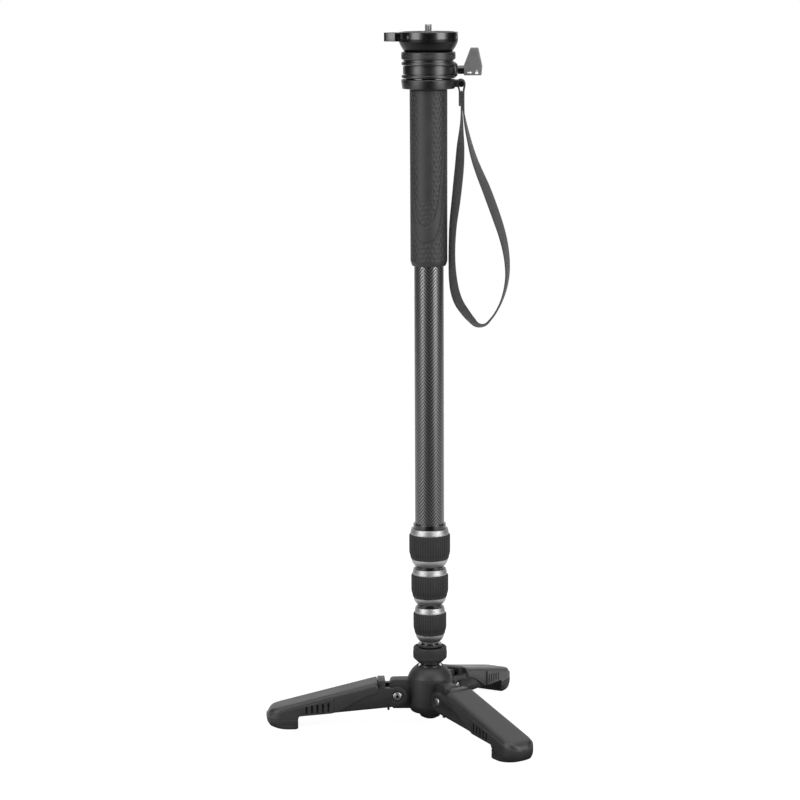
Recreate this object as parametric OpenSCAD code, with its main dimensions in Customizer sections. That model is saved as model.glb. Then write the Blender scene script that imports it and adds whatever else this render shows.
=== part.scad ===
// Camera monopod with four tubes, a levelling platform and a folding three-legged foot.
// The origin is on the floor, on the column's axis. +Z is up. Millimetres.

/* [Tubes] */
// Outside diameter of the main tube
tube_od = 26; // [24:0.5:30]
// Drop in diameter from each tube to the next one
tube_step = 3.5; // [3.3:0.1:4.2]
// Wall of every tube
tube_wall = 1.2; // [0.9:0.1:1.4]
// Length of the main tube
main_tube_l = 411.1; // [340:0.1:560]
// Length of the plug in the top of the main tube
plug_l = 20; // [16:1:40]
// Length of the guide bush at the top of each inner tube
bush_l = 20; // [10:1:40]

/* [Twist locks] */
// Height of the first lock from its lower ring to its upper ring
lock_h = 34; // [33.4:0.2:44]
// Loss of height from each lock to the next one down
lock_fall = 1.4; // [0:0.1:1.6]
// Gap between two locks when the sections are closed
lock_gap = 2.6; // [1.6:0.1:4]
// How far the rubber sleeve stands out from the tube
sleeve_out = 5.3; // [5:0.1:7]
// Thickness of the rubber sleeve
sleeve_t = 2.2; // [1.6:0.1:2.4]
// Height of the upper metal ring of a lock
ring_h = 5.2; // [4:0.1:7]
// Height of the lower metal ring of a lock
lower_ring_h = 6.3; // [4:0.1:7]
// How far the thread under a lock stands out from the tube
thread_out = 1.85; // [1.4:0.05:2]
// Height at which a tube ends above the bottom of its lock
tube_seat_h = 16; // [14:0.5:18]
// Length of a collet
collet_l = 11.6; // [9:0.2:11.8]
// Height of the end fitting above the first lock
flange_h = 4.4; // [2:0.2:8]

/* [Grip] */
// Length of the grip sleeve
grip_l = 154; // [120:1:220]
// Wall of the grip sleeve
grip_t = 3.4; // [2.5:0.1:5]
// Loss of radius from the grip's top to its lower end
grip_taper = 0.2; // [0:0.05:0.6]

/* [Head] */
// How far the strap collar stands out from the head's housing
collar_out = 0.3; // [0:0.1:1.5]
// Height of the strap collar
collar_h = 8.2; // [7:0.1:12]
// Loss of radius from the collar's top edge to its lower edge
collar_taper = 0.9; // [0:0.1:1.5]
// Thickness of the flange between the collar and the housing
spacer_h = 1; // [0.6:0.1:2]
// How far the cup ring stands out from the housing's two raised rings
cup_over = 0.3; // [0:0.1:0.8]
// How far those rings stand out from the plain band between them
rail_out = 1.2; // [0.8:0.1:1.8]
// Height of each raised ring
rail_h = 2.8; // [2:0.1:4]
// Height of the plain band
band_h = 8.2; // [7.8:0.1:12]
// Height of the neck under the cup ring
neck_h = 2; // [1.5:0.1:3]
// Thickness of the housing's floor
floor_t = 3.6; // [3:0.1:3.8]
// Wall of the cup ring at its top edge
cup_lip = 1.9; // [1.4:0.1:4]
// Height of the cup ring
cup_h = 6.8; // [6:0.1:9]
// Wall of the cup under the half ball
cup_wall = 2.2; // [1.8:0.1:2.6]
// Depth of the ball below the top edge of the cup ring
ball_sink = 9.41; // [9:0.01:10]
// Radius of the platform's rim
rim_r = 25.55; // [25:0.05:27]
// Depth of the half ball's rim below the ball's centre
rim_drop = 8.76; // [8:0.02:9.5]
// Height of the half ball's straight rim
rim_band = 1.96; // [1.2:0.02:3]
// Thickness of the platform plate
plate_t = 6.1; // [5.5:0.1:8]
// Radius of the spigot that joins the half ball to the plate
spigot_r = 18; // [15:0.1:20]
// Height of that spigot
spigot_h = 3.8; // [3:0.1:4]
// Thickness of the liner that the half ball turns in
liner_t = 0.86; // [0.6:0.02:1.2]
// Diameter of the camera screw
screw_d = 6.35; // [6.35:3.175:9.525]
// Height of the camera screw above the plate
screw_l = 6.5; // [5:0.1:9]
// Diameter of the tension bolt
tension_d = 6; // [5:0.5:6]
// Diameter of the bolt that joins the head to the column
mount_bolt_d = 9.52; // [8:0.02:10]
// Diameter of the set screws in the rim
grub_d = 3; // [2.5:0.1:3.4]

/* [Level] */
// Width of the tab that holds the bubble level
tab_w = 16.4; // [14.5:0.1:19]
// Length of the tab beyond the bubble level
tab_end = 3.2; // [2.6:0.1:5]
// Distance from the platform's rim to the middle of the bubble level
tab_out = 5; // [4.6:0.1:7]
// Thickness of the tab
tab_t = 7.6; // [6.5:0.1:9]
// Diameter of the bubble level
vial_d = 9.2; // [8:0.1:10]
// Depth of the bubble level
vial_h = 4.6; // [3:0.1:5]

/* [Lock paddle] */
// Diameter of the threaded part of the shaft
shaft_d = 6; // [5:0.1:6.4]
// Diameter of the shaft's collar
shaft_collar_d = 7.4; // [6.8:0.1:8]
// How far the boss stands out from the housing's rings
boss_out = 1.9; // [1:0.1:4.6]
// Radius of the boss
boss_r = 6.8; // [5.5:0.1:6.9]
// Gap between the boss and the paddle
paddle_gap = 5.3; // [3:0.1:8]
// Width of the paddle
paddle_w = 16; // [12:0.5:20]
// Reach of the paddle above the shaft
paddle_up = 19; // [15:0.5:24]
// Reach of the paddle below the shaft
paddle_down = 4.8; // [4.5:0.1:6]
// Thickness of the paddle
paddle_t = 7.2; // [7:0.1:10]

/* [Wrist strap] */
// Width of the webbing
strap_w = 10; // [6:0.5:11]
// Thickness of the webbing
strap_t = 1.5; // [1:0.1:1.6]
// Diameter of the bar that the strap goes round
bar_d = 4; // [3:0.1:4.2]
// How far the strap's bar stands out from the collar
bar_out = 4.5; // [3.6:0.1:7]
// Clear width between the lug's ears
lug_gap = 12.4; // [12:0.1:16]
// Thickness of each ear of the lug
lug_t = 2; // [1.5:0.1:3]
// Radius of each ear of the lug
lug_r = 3; // [2.8:0.1:3.6]

/* [Foot joint] */
// Radius of the ball
ball_r = 14; // [13:0.1:14.4]
// Height of the ball's centre
ball_z = 44.5; // [44:0.1:46]
// Height of the ball's flat above its centre
ball_flat = 11.4; // [11:0.1:12]
// Radius of the ball's neck
neck_r = 6.5; // [5.5:0.1:7.5]
// Radius of the threaded stud above the neck
stud_r = 5; // [4:0.1:5.2]
// Length of that stud
stud_l = 16; // [10:0.5:24]
// Height of the base collar
base_collar_h = 14.9; // [13:0.1:16]
// Radius of the base collar
base_collar_r = 15.3; // [14.8:0.1:18]
// Radius of the base collar's lower end
base_collar_low_r = 10.2; // [9:0.1:10.4]
// Floor of the base collar
base_collar_floor = 4.2; // [3:0.1:6]
// Height of the foot fitting
foot_h = 13.3; // [12:0.1:18]
// Wall of the foot fitting round the tube
foot_wall = 2.85; // [2.4:0.05:3]
// Thickness of the ring seal
seal_t = 1.5; // [1:0.1:1.6]
// Depth of the seat under the ball's centre
seat_depth = 19; // [17:0.1:20]
// Height of the two disc springs
spring_h = 3; // [2.6:0.1:3.6]

/* [Hub] */
// Radius of the hub
hub_r = 20; // [19.6:0.1:21]
// Height of the hub's underside
hub_z = 12; // [11:0.1:13]
// Height at which the hub's side turns into its dome
shoulder_z = 43; // [42.6:0.1:43.4]
// Radius of the dome
dome_r = 21.1; // [21.05:0.05:21.4]
// Radius of the opening in the dome
mouth_r = 11.4; // [10.8:0.1:11.6]
// Wall of the ball seat beside the ball
seat_wall = 1.5; // [1:0.1:2]
// Lowest point of the hub plug
plug_z = 5; // [2:0.1:6]
// Radius of the plug's rounded end
plug_r = 11.5; // [9:0.1:13]

/* [Legs] */
// Direction of the first leg
leg_azimuth = 182.6; // [180:0.1:190]
// Distance from the axis to the hinge pins
pin_reach = 30; // [29.6:0.1:32]
// Height of the hinge pins
pin_z = 28; // [27:0.1:30]
// Diameter of the hinge pins
pin_d = 5; // [4:0.1:6]
// Diameter of the pins' heads
pin_head_d = 8.6; // [8:0.1:10]
// Thickness of the pins' heads
pin_head_t = 2.4; // [1.6:0.1:3]
// Width of the hub's tongues
tongue_w = 13; // [10:0.1:14]
// Width of the leg's arm
arm_w = 27; // [26:0.1:28]
// Radius of the arm's ears
ear_r = 8.8; // [8:0.1:9.2]
// Length of the catch block behind the ears
catch_l = 6.6; // [5:0.1:8]
// Width of the catch block
catch_w = 19; // [16:0.5:24]
// Radius cleared round the pin for the tongue
fork_r = 14.4; // [14:0.1:16]
// Width of the leg's cover
cover_w = 29; // [28.5:0.1:32]
// Distance from the pin to the cover's inner end
cover_in = 17.5; // [17:0.1:22]
// Height of the cover's inner end
cover_top = 41; // [40:0.1:43]
// Distance from the axis to the leg's tip
tip_reach = 147.5; // [130:0.5:170]
// Radius of the cover's nose
nose_r = 8.8; // [8:0.1:12]
// Roundness of the cover's long edges
edge_r = 4.5; // [2:0.1:6]
// How far the grip panels stand out from the cover's sides
panel_out = 0.8; // [0.4:0.1:1.2]
// Depth of the panels' upper edge under the cover's top
panel_drop = 3.4; // [3:0.1:5]
// Number of grip slots on each side of a cover
slot_count = 5; // [3:1:6]
// Spacing of the grip slots
slot_pitch = 4.9; // [4:0.1:5]
// Width of a grip slot
slot_w = 1.7; // [1:0.1:2.4]
// Depth of a grip slot
slot_d = 1.2; // [0.6:0.1:1.4]
// Length of the foot pad
pad_l = 28.5; // [20:0.5:34]
// Height of the foot pad
pad_h = 9.2; // [7:0.1:10]
// Width of the foot pad
pad_w = 31; // [29:0.5:34]

/* [Clearances] */
// Radial clearance of parts that turn or slide on each other
run_clear = 0.06; // [0.04:0.01:0.09]
// Clearance of parts that pass without touching
free_clear = 0.3; // [0.25:0.01:0.35]
// Clearance of parts that are fixed to each other
seat_clear = 0.02; // [0.01:0.01:0.04]

/* [Hidden] */
$fn = 96;
LEGS = 3;
black = "#1d1d1f";
dark = "#2b2b2d";
grey = "#6b6b6e";
silver = "#b9babd";

// Radii of the four tubes and their bores
function tube_r(k) = tube_od / 2 - (k - 1) * tube_step / 2;
function bore_r(k) = tube_r(k) - tube_wall;

// Heights up the foot joint
ball_top = ball_z + ball_flat;
base_collar_z = ball_top + free_clear;
foot_z = base_collar_z + base_collar_floor + free_clear;
foot_top = foot_z + foot_h;
foot_r = tube_r(4) + foot_wall;
foot_floor = 2.5;
seal_z = foot_top - seal_t - 0.4;
seat_r = ball_r + seat_wall;
hub_bore = seat_r + free_clear;
seat_z = ball_z - seat_depth;
spring_z = seat_z - spring_h;
dome_z = shoulder_z - sqrt(pow(dome_r, 2) - pow(hub_r, 2));

// Heights up the column, with the sections closed
function lock_tall(k) = lock_h - (k - 1) * lock_fall;
function lock_z(k) = k == 3 ? foot_top + lock_gap : lock_z(k + 1) + lock_tall(k + 1) + lock_gap;
function tube_end(k) = k == 4 ? foot_z + foot_floor : lock_z(k) + tube_seat_h;
main_top = tube_end(1) + main_tube_l;
bush_lip = 1;
inner_top = main_top - plug_l - bush_lip - 3;
function tube_top(k) = k == 1 ? main_top : inner_top;
collet_z = tube_seat_h - 2;

// Heights up the head
plug_neck = collar_h / 2;
grip_r = tube_r(1) + grip_t;
collar_z = main_top + plug_neck - collar_h;
spacer_z = collar_z + collar_h;
housing_z = spacer_z + spacer_h;
band_z = housing_z + rail_h;
rail_z = band_z + band_h;
cup_z = rail_z + rail_h + neck_h;
cup_top = cup_z + cup_h;
half_r = sqrt(pow(rim_r, 2) + pow(rim_drop, 2));
ball_rise = half_r - ball_sink;
centre_z = cup_top + ball_rise;
cup_in_r = half_r + liner_t + 2 * run_clear;
cup_out_r = cup_in_r + cup_wall;
cup_r = sqrt(pow(cup_in_r, 2) - pow(ball_rise, 2)) + cup_lip;
cup_hole_r = 8;
housing_r = cup_r - cup_over;
collar_r = housing_r + collar_out;
spacer_r = collar_r - 3.2;
bar_reach = collar_r + bar_out;
band_r = housing_r - rail_out;
cavity_r = band_r - 3.2;
cup_dish_r = cavity_r - 1;
boss_reach = housing_r + boss_out;
cavity_z = housing_z + floor_t;
half_low = centre_z - half_r + 2.6;
rim_z = centre_z - rim_drop;
plate_z = rim_z + rim_band + 0.1;
plate_top = plate_z + plate_t;
washer_r = 13.4;
washer_z = centre_z - cup_out_r - free_clear - 2;
tension_head_h = 2.4;
tension_in = 12;
tab_reach = rim_r + tab_out;
tab_z = plate_top - 0.5 - tab_t;
tab_tip = tab_reach + vial_d / 2 + tab_end;
tab_side = [[spigot_r, tab_w / 2], [tab_reach - 1.6, tab_w / 2], [tab_tip - 2, vial_d / 2], [tab_tip, vial_d / 2 - 2]];
tab_plan = [for (s = [-1, 1], i = [0:3]) let(q = tab_side[s < 0 ? i : 3 - i]) [-q[0], s * q[1]]];
screw_flange_r = 5;
screw_flange_t = 1.8;
screw_in = 8;
grub_z = plate_z + spigot_h / 2;
grub_turn = 225;

// Places of the paddle and the strap's bar
knob_z = housing_z + rail_h + band_h / 2;
shaft_tip = cavity_r + 1.8;
shaft_in = 8;
paddle_x = boss_reach + paddle_gap;
bar_z = collar_z + collar_h / 2 + 0.4;
loop_r = bar_d / 2 + 0.4 + strap_t / 2;
layer = strap_t + 0.2;

// Places along a leg, measured from the pin or from the axis as named
pad_in = tip_reach - pad_l;
nose_x = tip_reach - nose_r;
nose_z = pad_h + 0.4;
cover_x = pin_reach + cover_in;
ear_top = ear_r - 1.1;
under_in = [8, -9.7];
under_out = [pad_in - 2 - pin_reach, 2.5 + pad_h - pin_z];
arm_end = pad_in - 3 - pin_reach;
stop_tab = [2, 3];
tongue_low = pin_z - hub_z - 3.2;
fold_r = norm([pin_reach - hub_r, tongue_low]);
fold_low = 4;

// Height of the underside at a distance from the pin
function under(u) = under_in[1] + (u - under_in[0]) * (under_out[1] - under_in[1]) / (under_out[0] - under_in[0]);

// Points of an arc round a centre
function arc(centre, r, from, to, steps) =
    [for (i = [0:steps]) let(a = from + (to - from) * i / steps) centre + r * [cos(a), sin(a)]];

// The webbing's route, from its tail round the bar and along the loop to its stitched end:
// across, towards the back and up from the bar, then the turn of its width
strap_route = concat(
    [[0.5 - layer, 0, -19.5, 0], [0.5 - layer, 0, -15, 0], [0.5 - layer, 0, -10, 0], [0.4 - layer, 0, -6.5, 0]],
    [[-0.6 - layer, 0, -3.2, 0]],
    [for (a = [180:-30:0]) [loop_r * cos(a), 0, loop_r * sin(a), 0]],
    [[layer + 1.2, 0, -3.2, 0], [layer + 0.6, 0, -6.5, 0], [layer + 0.5, 0, -10, 0], [layer + 0.5, 0, -17, 0]],
    [[layer + 0.6, 0, -24.5, 0]],
    [[3, 0, -30, 4], [4.3, 0.5, -37, 10], [7.2, 1, -50, 18], [12, 1.5, -67, 30], [16.8, 2, -79.5, 40]],
    [[21.2, 2.5, -90, 47], [26.5, 3, -104, 50], [31.5, 3, -118, 48], [36, 3, -132, 41], [39, 3, -145, 33]],
    [[40.5, 2.5, -157, 26], [40.6, 2, -168, 20], [39, 1.5, -179, 15], [36, 1, -189, 10], [31.8, 0.5, -198, 8]],
    [[26.4, 0, -206, 10], [20.5, -0.5, -211.5, 16], [14.5, -1, -211.5, 27], [8.5, -1.5, -206, 40]],
    [[3, -2, -199, 50], [-1.6, -2.5, -192, 54], [-5, -3, -183, 52], [-7, -3, -172, 44], [-8, -3, -157, 33]],
    [[-8, -3, -140, 31], [-7, -3, -122, 37], [-4.8, -2.5, -104, 46], [-2.9, -2, -87, 50], [-1.3, -1.5, -70, 48]],
    [[-0.4, -1, -54, 36], [0.2, -0.5, -42, 18], [0.6, 0, -32, 6], [0.5, 0, -24.5, 0], [0.5, 0, -17, 0]],
    [[0.5, 0, -11, 0], [0.5, 0, -6.8, 0]]
);

// A plain ring between two radii
module ring(r_in, r_out, z, h) {
    translate([0, 0, z])
        difference() {
            cylinder(r = r_out, h = h);
            translate([0, 0, -1]) cylinder(r = r_in, h = h + 2);
        }
}

// A round bar along X
module bar_x(r, x, l) {
    translate([x, 0, 0]) rotate([0, 90, 0]) cylinder(r = r, h = l);
}

// A round bar along Y, centred
module bar_y(r, l) {
    rotate([90, 0, 0]) cylinder(r = r, h = l, center = true);
}

// A side outline, given as distance and height, made as wide as asked
module side(points, w) {
    rotate([90, 0, 0]) linear_extrude(w, center = true) polygon(points);
}

// Places its children on one leg, with X outwards
module on_leg(i) {
    rotate(leg_azimuth + (i - 1) * 360 / LEGS) children();
}

// Places its children at one leg's pin
module at_pin(i) {
    on_leg(i) translate([pin_reach, 0, pin_z]) children();
}

// Head

module camera_screw() {
    tip = 0.7;
    color(silver) translate([0, 0, plate_top]) {
        cylinder(d = screw_d, h = screw_l - tip);
        translate([0, 0, screw_l - tip]) cylinder(d1 = screw_d, d2 = screw_d - 2 * tip, h = tip);
        translate([0, 0, -screw_in]) cylinder(d = screw_d - 0.6, h = screw_in);
        translate([0, 0, spigot_h - plate_t - screw_flange_t]) cylinder(r = screw_flange_r, h = screw_flange_t);
    }
}

pad_in_r = 9;
pad_edge = 3.2;
pad_sunk = 0.8;
pad_proud = 0.2;
module top_pad() {
    color(dark) ring(pad_in_r, rim_r - pad_edge, plate_top - pad_sunk, pad_sunk + pad_proud);
}

module platform_plate() {
    color(black) difference() {
        union() {
            translate([0, 0, plate_z]) cylinder(r = rim_r, h = plate_t);
            translate([0, 0, tab_z]) linear_extrude(tab_t) polygon(tab_plan);
        }
        ring(pad_in_r - seat_clear, rim_r - pad_edge + seat_clear, plate_top - pad_sunk, pad_sunk + 1);
        translate([0, 0, plate_z - 1]) cylinder(r = spigot_r + seat_clear, h = spigot_h + 1);
        translate([0, 0, tab_z - 1]) cylinder(r = rim_r + run_clear, h = plate_z - tab_z + 1);
        cylinder(d = screw_d - 0.6 + 2 * seat_clear, h = plate_top + 1);
        translate([-tab_reach, 0, tab_z + tab_t - vial_h]) cylinder(d = vial_d + 2 * seat_clear, h = vial_h + 1);
        for (i = [0:2])
            rotate(grub_turn + i * 120) translate([0, 0, grub_z]) bar_x(grub_d / 2 + seat_clear, spigot_r - 1, rim_r);
    }
}

module rim_grub_screws() {
    socket_d = 1.5;
    sunk = 0.5;
    color(silver)
        for (i = [0:2])
            rotate(grub_turn + i * 120) translate([0, 0, grub_z]) difference() {
                bar_x(grub_d / 2, spigot_r + seat_clear, rim_r - spigot_r - sunk);
                translate([rim_r - sunk - socket_d, 0, 0]) rotate([0, 90, 0])
                    cylinder(d = socket_d, h = socket_d + 1, $fn = 6);
            }
}

module level_vial() {
    color("#a9d18e") translate([-tab_reach, 0, tab_z + tab_t - vial_h]) cylinder(d = vial_d, h = vial_h);
}

module half_ball() {
    recess_t = plate_z - rim_z - rim_band;
    color(black) difference() {
        union() {
            intersection() {
                translate([0, 0, centre_z]) sphere(r = half_r);
                translate([0, 0, half_low]) cylinder(r = rim_r, h = rim_z + rim_band - half_low);
            }
            translate([0, 0, rim_z]) cylinder(r = spigot_r, h = rim_band + recess_t + spigot_h - seat_clear);
        }
        translate([0, 0, half_low - 1]) cylinder(d = tension_d + 2 * seat_clear, h = tension_in + 1);
        translate([0, 0, plate_top - screw_in - 1]) cylinder(d = screw_d - 0.6 + 2 * seat_clear, h = screw_in + 1);
        translate([0, 0, plate_z + spigot_h - screw_flange_t - seat_clear])
            cylinder(r = screw_flange_r + seat_clear, h = screw_flange_t + 1);
    }
}

module tension_bolt() {
    color(silver) {
        translate([0, 0, washer_z]) cylinder(d = tension_d, h = half_low + tension_in - 0.5 - washer_z);
        translate([0, 0, washer_z - tension_head_h]) cylinder(d = tension_d + 4, h = tension_head_h);
    }
}

module pull_washer() {
    color(silver) difference() {
        translate([0, 0, washer_z]) cylinder(r = washer_r, h = 2 * washer_r);
        translate([0, 0, washer_z - 1]) cylinder(d = tension_d + 2 * seat_clear, h = 2 * washer_r + 2);
        translate([0, 0, washer_z + cup_wall + 4]) cylinder(r = washer_r + 1, h = 2 * washer_r);
        difference() {
            translate([0, 0, washer_z]) cylinder(r = washer_r + 1, h = 2 * washer_r + 1);
            difference() {
                translate([0, 0, washer_z - 1]) cylinder(r = washer_r + 2, h = 2 * washer_r + 3);
                translate([0, 0, centre_z]) sphere(r = cup_out_r + free_clear);
            }
        }
    }
}

// A zone of a spherical shell under the ball's centre, between two radii from the axis
module zone(r_in, r_out, from, to) {
    translate([0, 0, centre_z]) difference() {
        intersection() {
            sphere(r = r_out);
            translate([0, 0, -2 * r_out]) cylinder(r = to, h = 2 * r_out);
        }
        sphere(r = r_in);
        translate([0, 0, -2 * r_out - 1]) cylinder(r = from, h = 2 * r_out + 2);
    }
}

module seat_liner() {
    color("#e6e2d6") zone(half_r + run_clear, half_r + run_clear + liner_t, cup_hole_r + 3, cup_dish_r - 0.5);
}

module cup_ring() {
    color(dark) difference() {
        union() {
            translate([0, 0, cup_z]) cylinder(r = cup_r, h = cup_h);
            intersection() {
                translate([0, 0, centre_z]) sphere(r = cup_out_r);
                translate([0, 0, cup_z - 2 * cup_h]) cylinder(r = cup_dish_r, h = 2 * cup_h + 1);
            }
        }
        translate([0, 0, centre_z]) sphere(r = cup_in_r);
        cylinder(r = cup_hole_r, h = centre_z);
    }
}

module head_housing() {
    boss_chamfer = 2;
    color(black) difference() {
        union() {
            rotate_extrude() polygon([[0, housing_z], [housing_r, housing_z], [housing_r, band_z], [band_r, band_z],
                [band_r, rail_z], [housing_r, rail_z], [housing_r, rail_z + rail_h], [band_r, rail_z + rail_h],
                [band_r, cup_z], [0, cup_z]]);
            translate([0, 0, knob_z]) {
                bar_x(boss_r, cavity_r, boss_reach - boss_chamfer - cavity_r);
                translate([boss_reach - boss_chamfer, 0, 0]) rotate([0, 90, 0])
                    cylinder(r1 = boss_r, r2 = boss_r - boss_chamfer, h = boss_chamfer);
            }
        }
        translate([0, 0, cavity_z]) cylinder(r = cavity_r, h = cup_z - cavity_z + 1);
        translate([0, 0, housing_z - 1]) cylinder(d = mount_bolt_d + 2 * seat_clear, h = floor_t + 2);
        translate([0, 0, knob_z]) bar_x(shaft_d / 2 + run_clear, cavity_r - 2, boss_reach);
    }
}

module knob_shaft() {
    color(silver) translate([0, 0, knob_z]) {
        bar_x(shaft_d / 2, shaft_tip, paddle_x + shaft_in - shaft_tip);
        bar_x(shaft_collar_d / 2, boss_reach + free_clear, paddle_gap - free_clear - seat_clear);
    }
}

module lock_paddle() {
    lean_in = 6;
    lean_out = 3.4;
    shoulder = 3.4;
    color(grey) translate([paddle_x, 0, knob_z]) difference() {
        side([[0, -paddle_down], [paddle_w - 0.7, -paddle_down], [paddle_w, shoulder],
            [paddle_w - lean_out, paddle_up], [lean_in, paddle_up], [0, shoulder]], paddle_t);
        bar_x(shaft_d / 2 + seat_clear, -1, shaft_in + 1 + seat_clear);
    }
}

module brake_shoe() {
    nose = 0.6;
    color("#e6e2d6") translate([0, 0, knob_z])
        bar_x(shaft_d / 2, cavity_r - nose, shaft_tip - cavity_r + nose - run_clear);
}

bolt_head_r = 8;
bolt_head_h = 6;
bolt_seat = 7;
module head_mount_bolt() {
    color(silver) {
        translate([0, 0, main_top - bolt_seat]) cylinder(d = mount_bolt_d, h = housing_z + floor_t - 0.2 - main_top + bolt_seat);
        translate([0, 0, main_top - bolt_seat - bolt_head_h]) difference() {
            cylinder(r = bolt_head_r, h = bolt_head_h);
            translate([0, 0, -1]) cylinder(d = bolt_head_r, h = bolt_head_h / 2 + 1, $fn = 6);
        }
    }
}

module strap_collar() {
    color(dark) difference() {
        union() {
            rotate_extrude() polygon([[0, collar_z], [collar_r - collar_taper, collar_z], [collar_r, spacer_z - 0.6],
                [collar_r - 0.6, spacer_z], [0, spacer_z]]);
            for (s = [-1, 1])
                translate([0, s * (lug_gap + lug_t) / 2, bar_z]) {
                    translate([bar_reach, 0, 0]) bar_y(lug_r, lug_t);
                    translate([bar_reach / 2, 0, 0]) cube([bar_reach, lug_t, 2 * lug_r], center = true);
                }
        }
        cylinder(r = tube_r(1) + seat_clear, h = spacer_z + 1);
        translate([bar_reach, 0, bar_z]) bar_y(bar_d / 2 + seat_clear, lug_gap + 2 * lug_t + 2);
    }
}

module lug_bar() {
    color(silver) translate([bar_reach, 0, bar_z]) bar_y(bar_d / 2, lug_gap + 2 * lug_t);
}

// The webbing's section has chamfered corners
strap_chamfer = 0.4;
strap_section = [for (s = [[1, 1], [-1, 1], [-1, -1], [1, -1]], e = s[0] * s[1] > 0 ? [0, 1] : [1, 0])
    [s[0] * (strap_w / 2 - (e == 0 ? 0 : strap_chamfer)), s[1] * (strap_t / 2 - (e == 0 ? strap_chamfer : 0))]];
strap_points = [for (p = strap_route) [p[0], p[1], p[2]]];
function unit(v) = v / norm(v);
function strap_along(i) = unit(strap_points[min(i + 1, len(strap_points) - 1)] - strap_points[max(i - 1, 0)]);
function strap_ring(i) =
    let(along = strap_along(i), out = unit(cross(along, [0, 1, 0])), back = cross(out, along), turn = strap_route[i][3],
        wide = back * cos(turn) + out * sin(turn), thick = cross(wide, along))
    [for (q = strap_section) strap_points[i] + wide * q[0] + thick * q[1]];

module wrist_strap() {
    sides = len(strap_section);
    last = (len(strap_route) - 1) * sides;
    points = [for (i = [0:len(strap_route) - 1]) each strap_ring(i)];
    walls = [for (i = [0:sides:last - 1], j = [0:sides - 1], f = [0, 1])
        let(k = (j + 1) % sides)
        f == 0 ? [i + j, i + sides + j, i + sides + k] : [i + j, i + sides + k, i + k]];
    ends = [for (j = [1:sides - 2], f = [0, 1]) f == 0 ? [0, j, j + 1] : [last, last + j + 1, last + j]];
    color(black) translate([bar_reach, 0, bar_z]) polyhedron(points, concat(walls, ends));
}

module tube_plug() {
    spigot = bore_r(1) - seat_clear;
    color(silver) difference() {
        rotate_extrude() polygon([[0, main_top - plug_l], [spigot, main_top - plug_l], [spigot, main_top],
            [tube_r(1), main_top], [tube_r(1), spacer_z], [spacer_r, spacer_z], [spacer_r, housing_z], [0, housing_z]]);
        translate([0, 0, main_top - plug_l - 1]) cylinder(r = bolt_head_r + free_clear, h = plug_l + 1 - bolt_seat);
        cylinder(d = mount_bolt_d + 2 * seat_clear, h = housing_z + 1);
    }
}

// Column

module grip() {
    low = collar_z - grip_l;
    chamfer = 1.6;
    bore = tube_r(1) + seat_clear;
    color(dark) rotate_extrude() polygon([[bore, low], [grip_r - grip_taper - chamfer, low],
        [grip_r - grip_taper, low + 3 * chamfer], [grip_r, collar_z - chamfer], [grip_r - chamfer / 2, collar_z],
        [bore, collar_z]]);
}

module tube(k) {
    color(black) ring(bore_r(k), tube_r(k), tube_end(k), tube_top(k) - tube_end(k));
}

module end_fitting(k) {
    r = tube_r(k);
    lip_r = tube_r(k + 1) + free_clear;
    top = lock_tall(k) + (k == 1 ? flange_h : lock_gap - 0.6);
    flange_out = thread_out - 0.25;
    step = lock_tall(k) - ring_h;
    color(black) translate([0, 0, lock_z(k)]) rotate_extrude() polygon([[lip_r, collet_z], [r + thread_out, collet_z],
        [r + thread_out, step], [r + flange_out, step], [r + flange_out, top], [r + seat_clear, top],
        [r + seat_clear, tube_seat_h], [lip_r, tube_seat_h]]);
}

// The collet's outline, from its narrow lower end to its straight upper end
collet_low_t = 1;
collet_cone_h = 7;
module collet(k) {
    r_in = tube_r(k + 1) + run_clear;
    low = collet_z - collet_l;
    slit_w = 1.2;
    slits = 6;
    color("#d9d6cc") translate([0, 0, lock_z(k)]) difference() {
        rotate_extrude() polygon([[r_in, low], [tube_r(k + 1) + collet_low_t, low],
            [tube_r(k) + thread_out - 0.7, low + collet_cone_h], [tube_r(k) + thread_out - 0.7, collet_z], [r_in, collet_z]]);
        for (i = [0:slits - 1])
            rotate(i * 360 / slits) translate([r_in - 1, -slit_w / 2, low - 1]) cube([10, slit_w, collet_l - 2]);
    }
}

module lock_nut(k) {
    r = tube_r(k);
    r_in = tube_r(k + 1) + free_clear;
    low = collet_z - collet_l;
    core = r + sleeve_out - sleeve_t;
    bore = r + thread_out + run_clear;
    cone = r + thread_out - 0.7 + free_clear;
    tall = lock_tall(k);
    upper = tall - ring_h;
    color(silver) translate([0, 0, lock_z(k)]) rotate_extrude() polygon([[r_in, 0], [r_in + 1.7, 0],
        [core - 0.8, lower_ring_h * 0.5], [core + 0.4, lower_ring_h], [core, lower_ring_h], [core, upper],
        [r + sleeve_out - 1.1, upper], [r + sleeve_out - 1.1, upper + 1], [r + 3.3, tall], [bore, tall],
        [bore, collet_z], [cone, collet_z], [cone, low + collet_cone_h], [tube_r(k + 1) + collet_low_t + free_clear, low - free_clear],
        [r_in, low - free_clear]]);
}

module lock_sleeve(k) {
    core = tube_r(k) + sleeve_out - sleeve_t + seat_clear;
    out = tube_r(k) + sleeve_out;
    low = lower_ring_h + seat_clear;
    high = lock_tall(k) - ring_h - seat_clear;
    color(black) translate([0, 0, lock_z(k)]) rotate_extrude() polygon([[core, low], [core + 0.5, low], [out, low + 6],
        [out, high], [core, high]]);
}

module guide_bush(k) {
    in = tube_r(k) + seat_clear;
    out = bore_r(k - 1) - run_clear;
    color("#d9d6cc") rotate_extrude() polygon([[in, inner_top - bush_l], [out, inner_top - bush_l],
        [out, inner_top + bush_lip], [bore_r(k), inner_top + bush_lip], [bore_r(k), inner_top], [in, inner_top]]);
}

// Foot joint

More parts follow.
